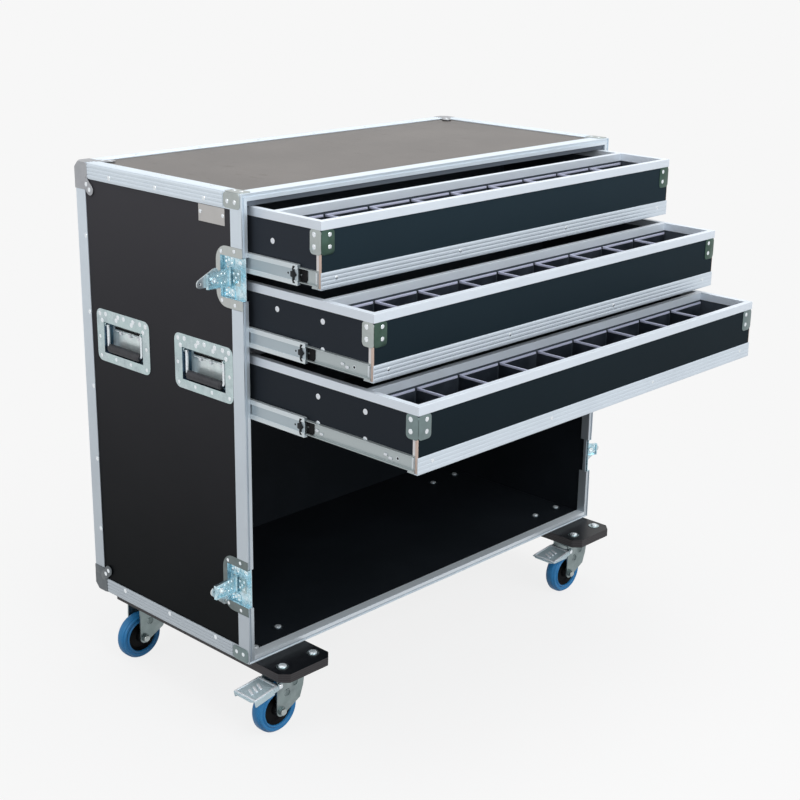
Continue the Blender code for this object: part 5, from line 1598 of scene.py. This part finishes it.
# %% Castor boards and their bolts
for side_name in SIDES:
    refined(side_name + "_castor_board", (board_face, board_edge),
            lambda c, n: 0 if abs(n.z) > 0.5 else 1, 0.0008)
board_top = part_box("left_castor_board")[1].z - BASE
BOARD_BOLTS = [(x, -0.048) for x in (-HALF + 0.041, -HALF + 0.120, HALF - 0.116, HALF - 0.038)]
BAY_BOLTS = [(-0.490, 0.030), (-0.401, 0.065), (0.421, 0.072), (0.497, 0.070), (0.406, 0.387), (0.488, 0.389),
             (-0.401, 0.387), (-0.490, 0.389)]


def bolted(name, places, z, washer, washer_thick, crown, washer_sides, washer_metal, head):
    """Washers and cup heads on the case; head is its radius, height and crown."""
    points = [(at(x, y, z), (0, 0, 1)) for x, y in places]
    fasteners(name + "_washers", "case", points, washer, washer_thick, crown, 0.0, washer_sides, washer_metal)
    raised = [(place + Vector((0, 0, washer_thick)), facing) for place, facing in points]
    fasteners(name + "_heads", "case", raised, *head, 0.0, 24, bay_bolt)


bolted("bolt", BOARD_BOLTS, board_top, 0.0125, 0.0012, 0.25, 28, dish_zinc, (0.0080, 0.0018, 1.8))
# The bay washers take the dark copy: painted shade.
bolted("bay_bolt", BAY_BOLTS, INSIDE, 0.0115, 0.0010, 0.3, 24, bay_washer_painted_shade, (0.0070, 0.0016, 1.6))

# %% [markdown]
# The two front castors have brake pedals. A pedal's solid is refined while its copy is shortened for a lip,
# flared and lifted towards its tip. A bench adds the lip, a raised frame round the deck, three bars across
# it, and the heads of its pivot. The frame and the bars get a paler zinc than the deck, as a painted
# highlight.

# %% Brake pedals
PEDAL_SLOPE = 13.0
PEDAL_TOP = 0.006
PEDAL_ROOT = 0.012
PEDAL_REACH = 0.073
PEDAL_HALF = 0.028
PEDAL_FLARE = 0.12
PEDAL_LIFT = 0.005
PEDAL_SKIRT = 0.0105
LIP_REACH = 0.004
TRIM_SHEET = 0.0020
TRIM_SINK = 0.0003
PIVOT_HEAD = ((0.0, 0.0046), (0.0030, 0.0042), (0.0048, 0.0030), (0.0054, 0.0010), (0.0, -0.0002))
PIVOT_HEAD_OUT = 0.0240
BARS = (-0.052, -0.041, -0.030)
BAR_TURN = 68


def pedal(name):
    pivot = pivots[name + "_brake"]
    tilt = Matrix.Translation(pivot) @ Matrix.Rotation(radians(-PEDAL_SLOPE), 4, "Y")
    back = tilt.inverted()

    def flared(co):
        local = back @ co
        share = min(max((-local.x - PEDAL_ROOT) / (PEDAL_REACH - PEDAL_ROOT), 0.0), 1.0)
        skirt = PEDAL_SKIRT if share == 1.0 and local.z < 0.0 else 0.0
        return tilt @ Vector((local.x + LIP_REACH * share, local.y * (1 + PEDAL_FLARE * share),
                              local.z + PEDAL_LIFT * share + skirt))

    refined(name + "_brake_pedal", (pedal_zinc,), edge=0.0009, reshape=flared)
    # The raised frame and bars take the pale matte zinc: a painted highlight.
    trim = Bench(pedal_zinc, rivet_steel, screw_white)
    rise = Matrix.Rotation(atan(PEDAL_LIFT / (PEDAL_REACH - PEDAL_ROOT)), 4, "Y")
    deck = tilt @ Matrix.Translation((-PEDAL_ROOT, 0, PEDAL_TOP - TRIM_SINK)) @ rise
    deck @= Matrix.Translation((PEDAL_ROOT, 0, 0))
    tip = -PEDAL_REACH + LIP_REACH
    tip_half = PEDAL_HALF * (1 + PEDAL_FLARE)
    lip = [(tip + 0.001, 0.0270), (tip - LIP_REACH + 0.0022, 0.0245), (tip - LIP_REACH + 0.0004, 0.0215)]
    lip += [(x, -y) for x, y in reversed(lip)]
    trim.slab(lip, TRIM_SHEET, deck @ Matrix.Translation((0, 0, -0.0022)), 0, 0.0005)
    for end in (-1, 1):
        edge = [(tip + 0.0015, tip_half - 0.0010), (tip + 0.0015, tip_half - 0.0050),
                (-0.0085, PEDAL_HALF - 0.0050), (-0.0085, PEDAL_HALF - 0.0010)]
        trim.slab([(x, end * y) for x, y in edge], TRIM_SHEET, deck, 2, 0.0008)
        trim.turned(PIVOT_HEAD, facing_y(pivot + Vector((0, end * PIVOT_HEAD_OUT, 0)), end), 1, 20)
    for x, half in ((tip + 0.0030, tip_half), (-0.0100, PEDAL_HALF)):
        bar = [(x + i * 0.0018, j * (half - 0.003)) for i, j in ((-1, -1), (1, -1), (1, 1), (-1, 1))]
        trim.slab(bar, TRIM_SHEET, deck, 2, 0.0008)
    for x in BARS:
        lay = deck @ Matrix.Translation((x, 0, 0)) @ turned_flat(BAR_TURN)
        trim.slab(rounded(0.0105, 0.0026, 0.0024), 0.0024, lay, 2, 0.0010)
    trim.made(name + "_pedal_trim", frame["nodes"][name + "_brake_pedal"]["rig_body"], "zinc_plated_steel")


print("pedals with", len(BARS), "bars")

# %% [markdown]
# A castor is a top plate, a swivel race, a fork and a wheel. Plate and fork are refined. The wheel is turned
# afresh as two parts, because its solid is one colour: a blue tyre with an inner bead and a stepped tread,
# and a dished black centre. The fork's round pressings and the axle's ends ride with the fork, and nuts hold
# the plate to the board. The middle of each pressing gets a darker copy of the zinc, as painted shade.

# %% Castors
tyre_side = [(0.0330, 0.0100), (0.0340, 0.0132), (0.0358, 0.0142), (0.0375, 0.0132), (0.0386, 0.0116),
             (0.0402, 0.0124), (0.0428, 0.0131), (0.0452, 0.0127), (0.0466, 0.0110), (0.0470, 0.0090),
             (0.0484, 0.0086), (0.0496, 0.0066), (0.0500, 0.0030)]
hub_side = [(0.0064, 0.0186), (0.0105, 0.0186), (0.0125, 0.0160), (0.0140, 0.0075), (0.0180, 0.0055),
            (0.0270, 0.0050), (0.0315, 0.0085), (0.0335, 0.0108)]
TYRE, CENTRE = [side + [(r, -h) for r, h in reversed(side)] for side in (tyre_side, hub_side)]
LEG_FACE = 0.022
PRESSINGS = ((0.034, 0.050, 0.0092), (0.015, 0.034, 0.0080))
AXLE_END = 0.0280
AXLE_CAP = ((0.0, 0.0036), (0.0034, 0.0034), (0.0058, 0.0024), (0.0068, 0.0006), (0.0, -0.0004))
NUT_X, NUT_Y, NUT_SINK = 0.040, 0.030, 0.003


def castor(name, braked):
    refined(name + "_top_plate", (fork_zinc,), edge=0.0005)
    refined(name + "_fork", (fork_zinc,), edge=0.0010)
    axle = pivots[name + "_roll"]
    wheel = Bench(tyre_rubber, hub_plastic)
    wheel.turned(TYRE, facing_y(axle), 0, 64)
    wheel.turned(CENTRE, facing_y(axle), 1, 48)
    wheel.made(name + "_tyred_wheel", name + "_wheel", "blue_tyre", name + "_wheel")
    pressed = Bench(fork_painted_shade, brace_zinc, fork_zinc)
    for end in (-1, 1):
        for x, z, radius in PRESSINGS:
            spot = facing_y(axle + Vector((x, end * LEG_FACE, z)), end)
            inner = radius * 0.76
            # The middle of the pressing: the darker copy, painted shade.
            pressed.turned([(0.0, 0.0005), (inner, 0.0002), (inner, -0.0002), (0.0, -0.0002)], spot, 0, 28)
            ring = [(radius * 0.74, 0.0), (radius * 0.78, 0.0011), (radius * 0.90, 0.0012), (radius, 0.0)]
            pressed.turned(ring, spot, 2, 28)
        pressed.turned(AXLE_CAP, facing_y(axle + Vector((0, end * AXLE_END, 0)), end), 1)
    pressed.made(name + "_fork_pressings", frame["nodes"][name + "_fork"]["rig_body"], "zinc_plated_steel")
    low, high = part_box(name + "_top_plate")
    middle = (low + high) / 2
    nuts = [(Vector((middle.x + x, middle.y + y, high.z - NUT_SINK)), (0, 0, -1)) for x in (-NUT_X, NUT_X)
            for y in (-NUT_Y, NUT_Y)]
    fasteners(name + "_plate_nuts", "case", nuts, 0.0065, 0.0040, 0.3, 0.0, 6, bolt_steel)
    if braked:
        pedal(name)


for side_name in SIDES:
    castor(side_name + "_front_castor", True)
    castor(side_name + "_rear_castor", False)
print("castors dressed")
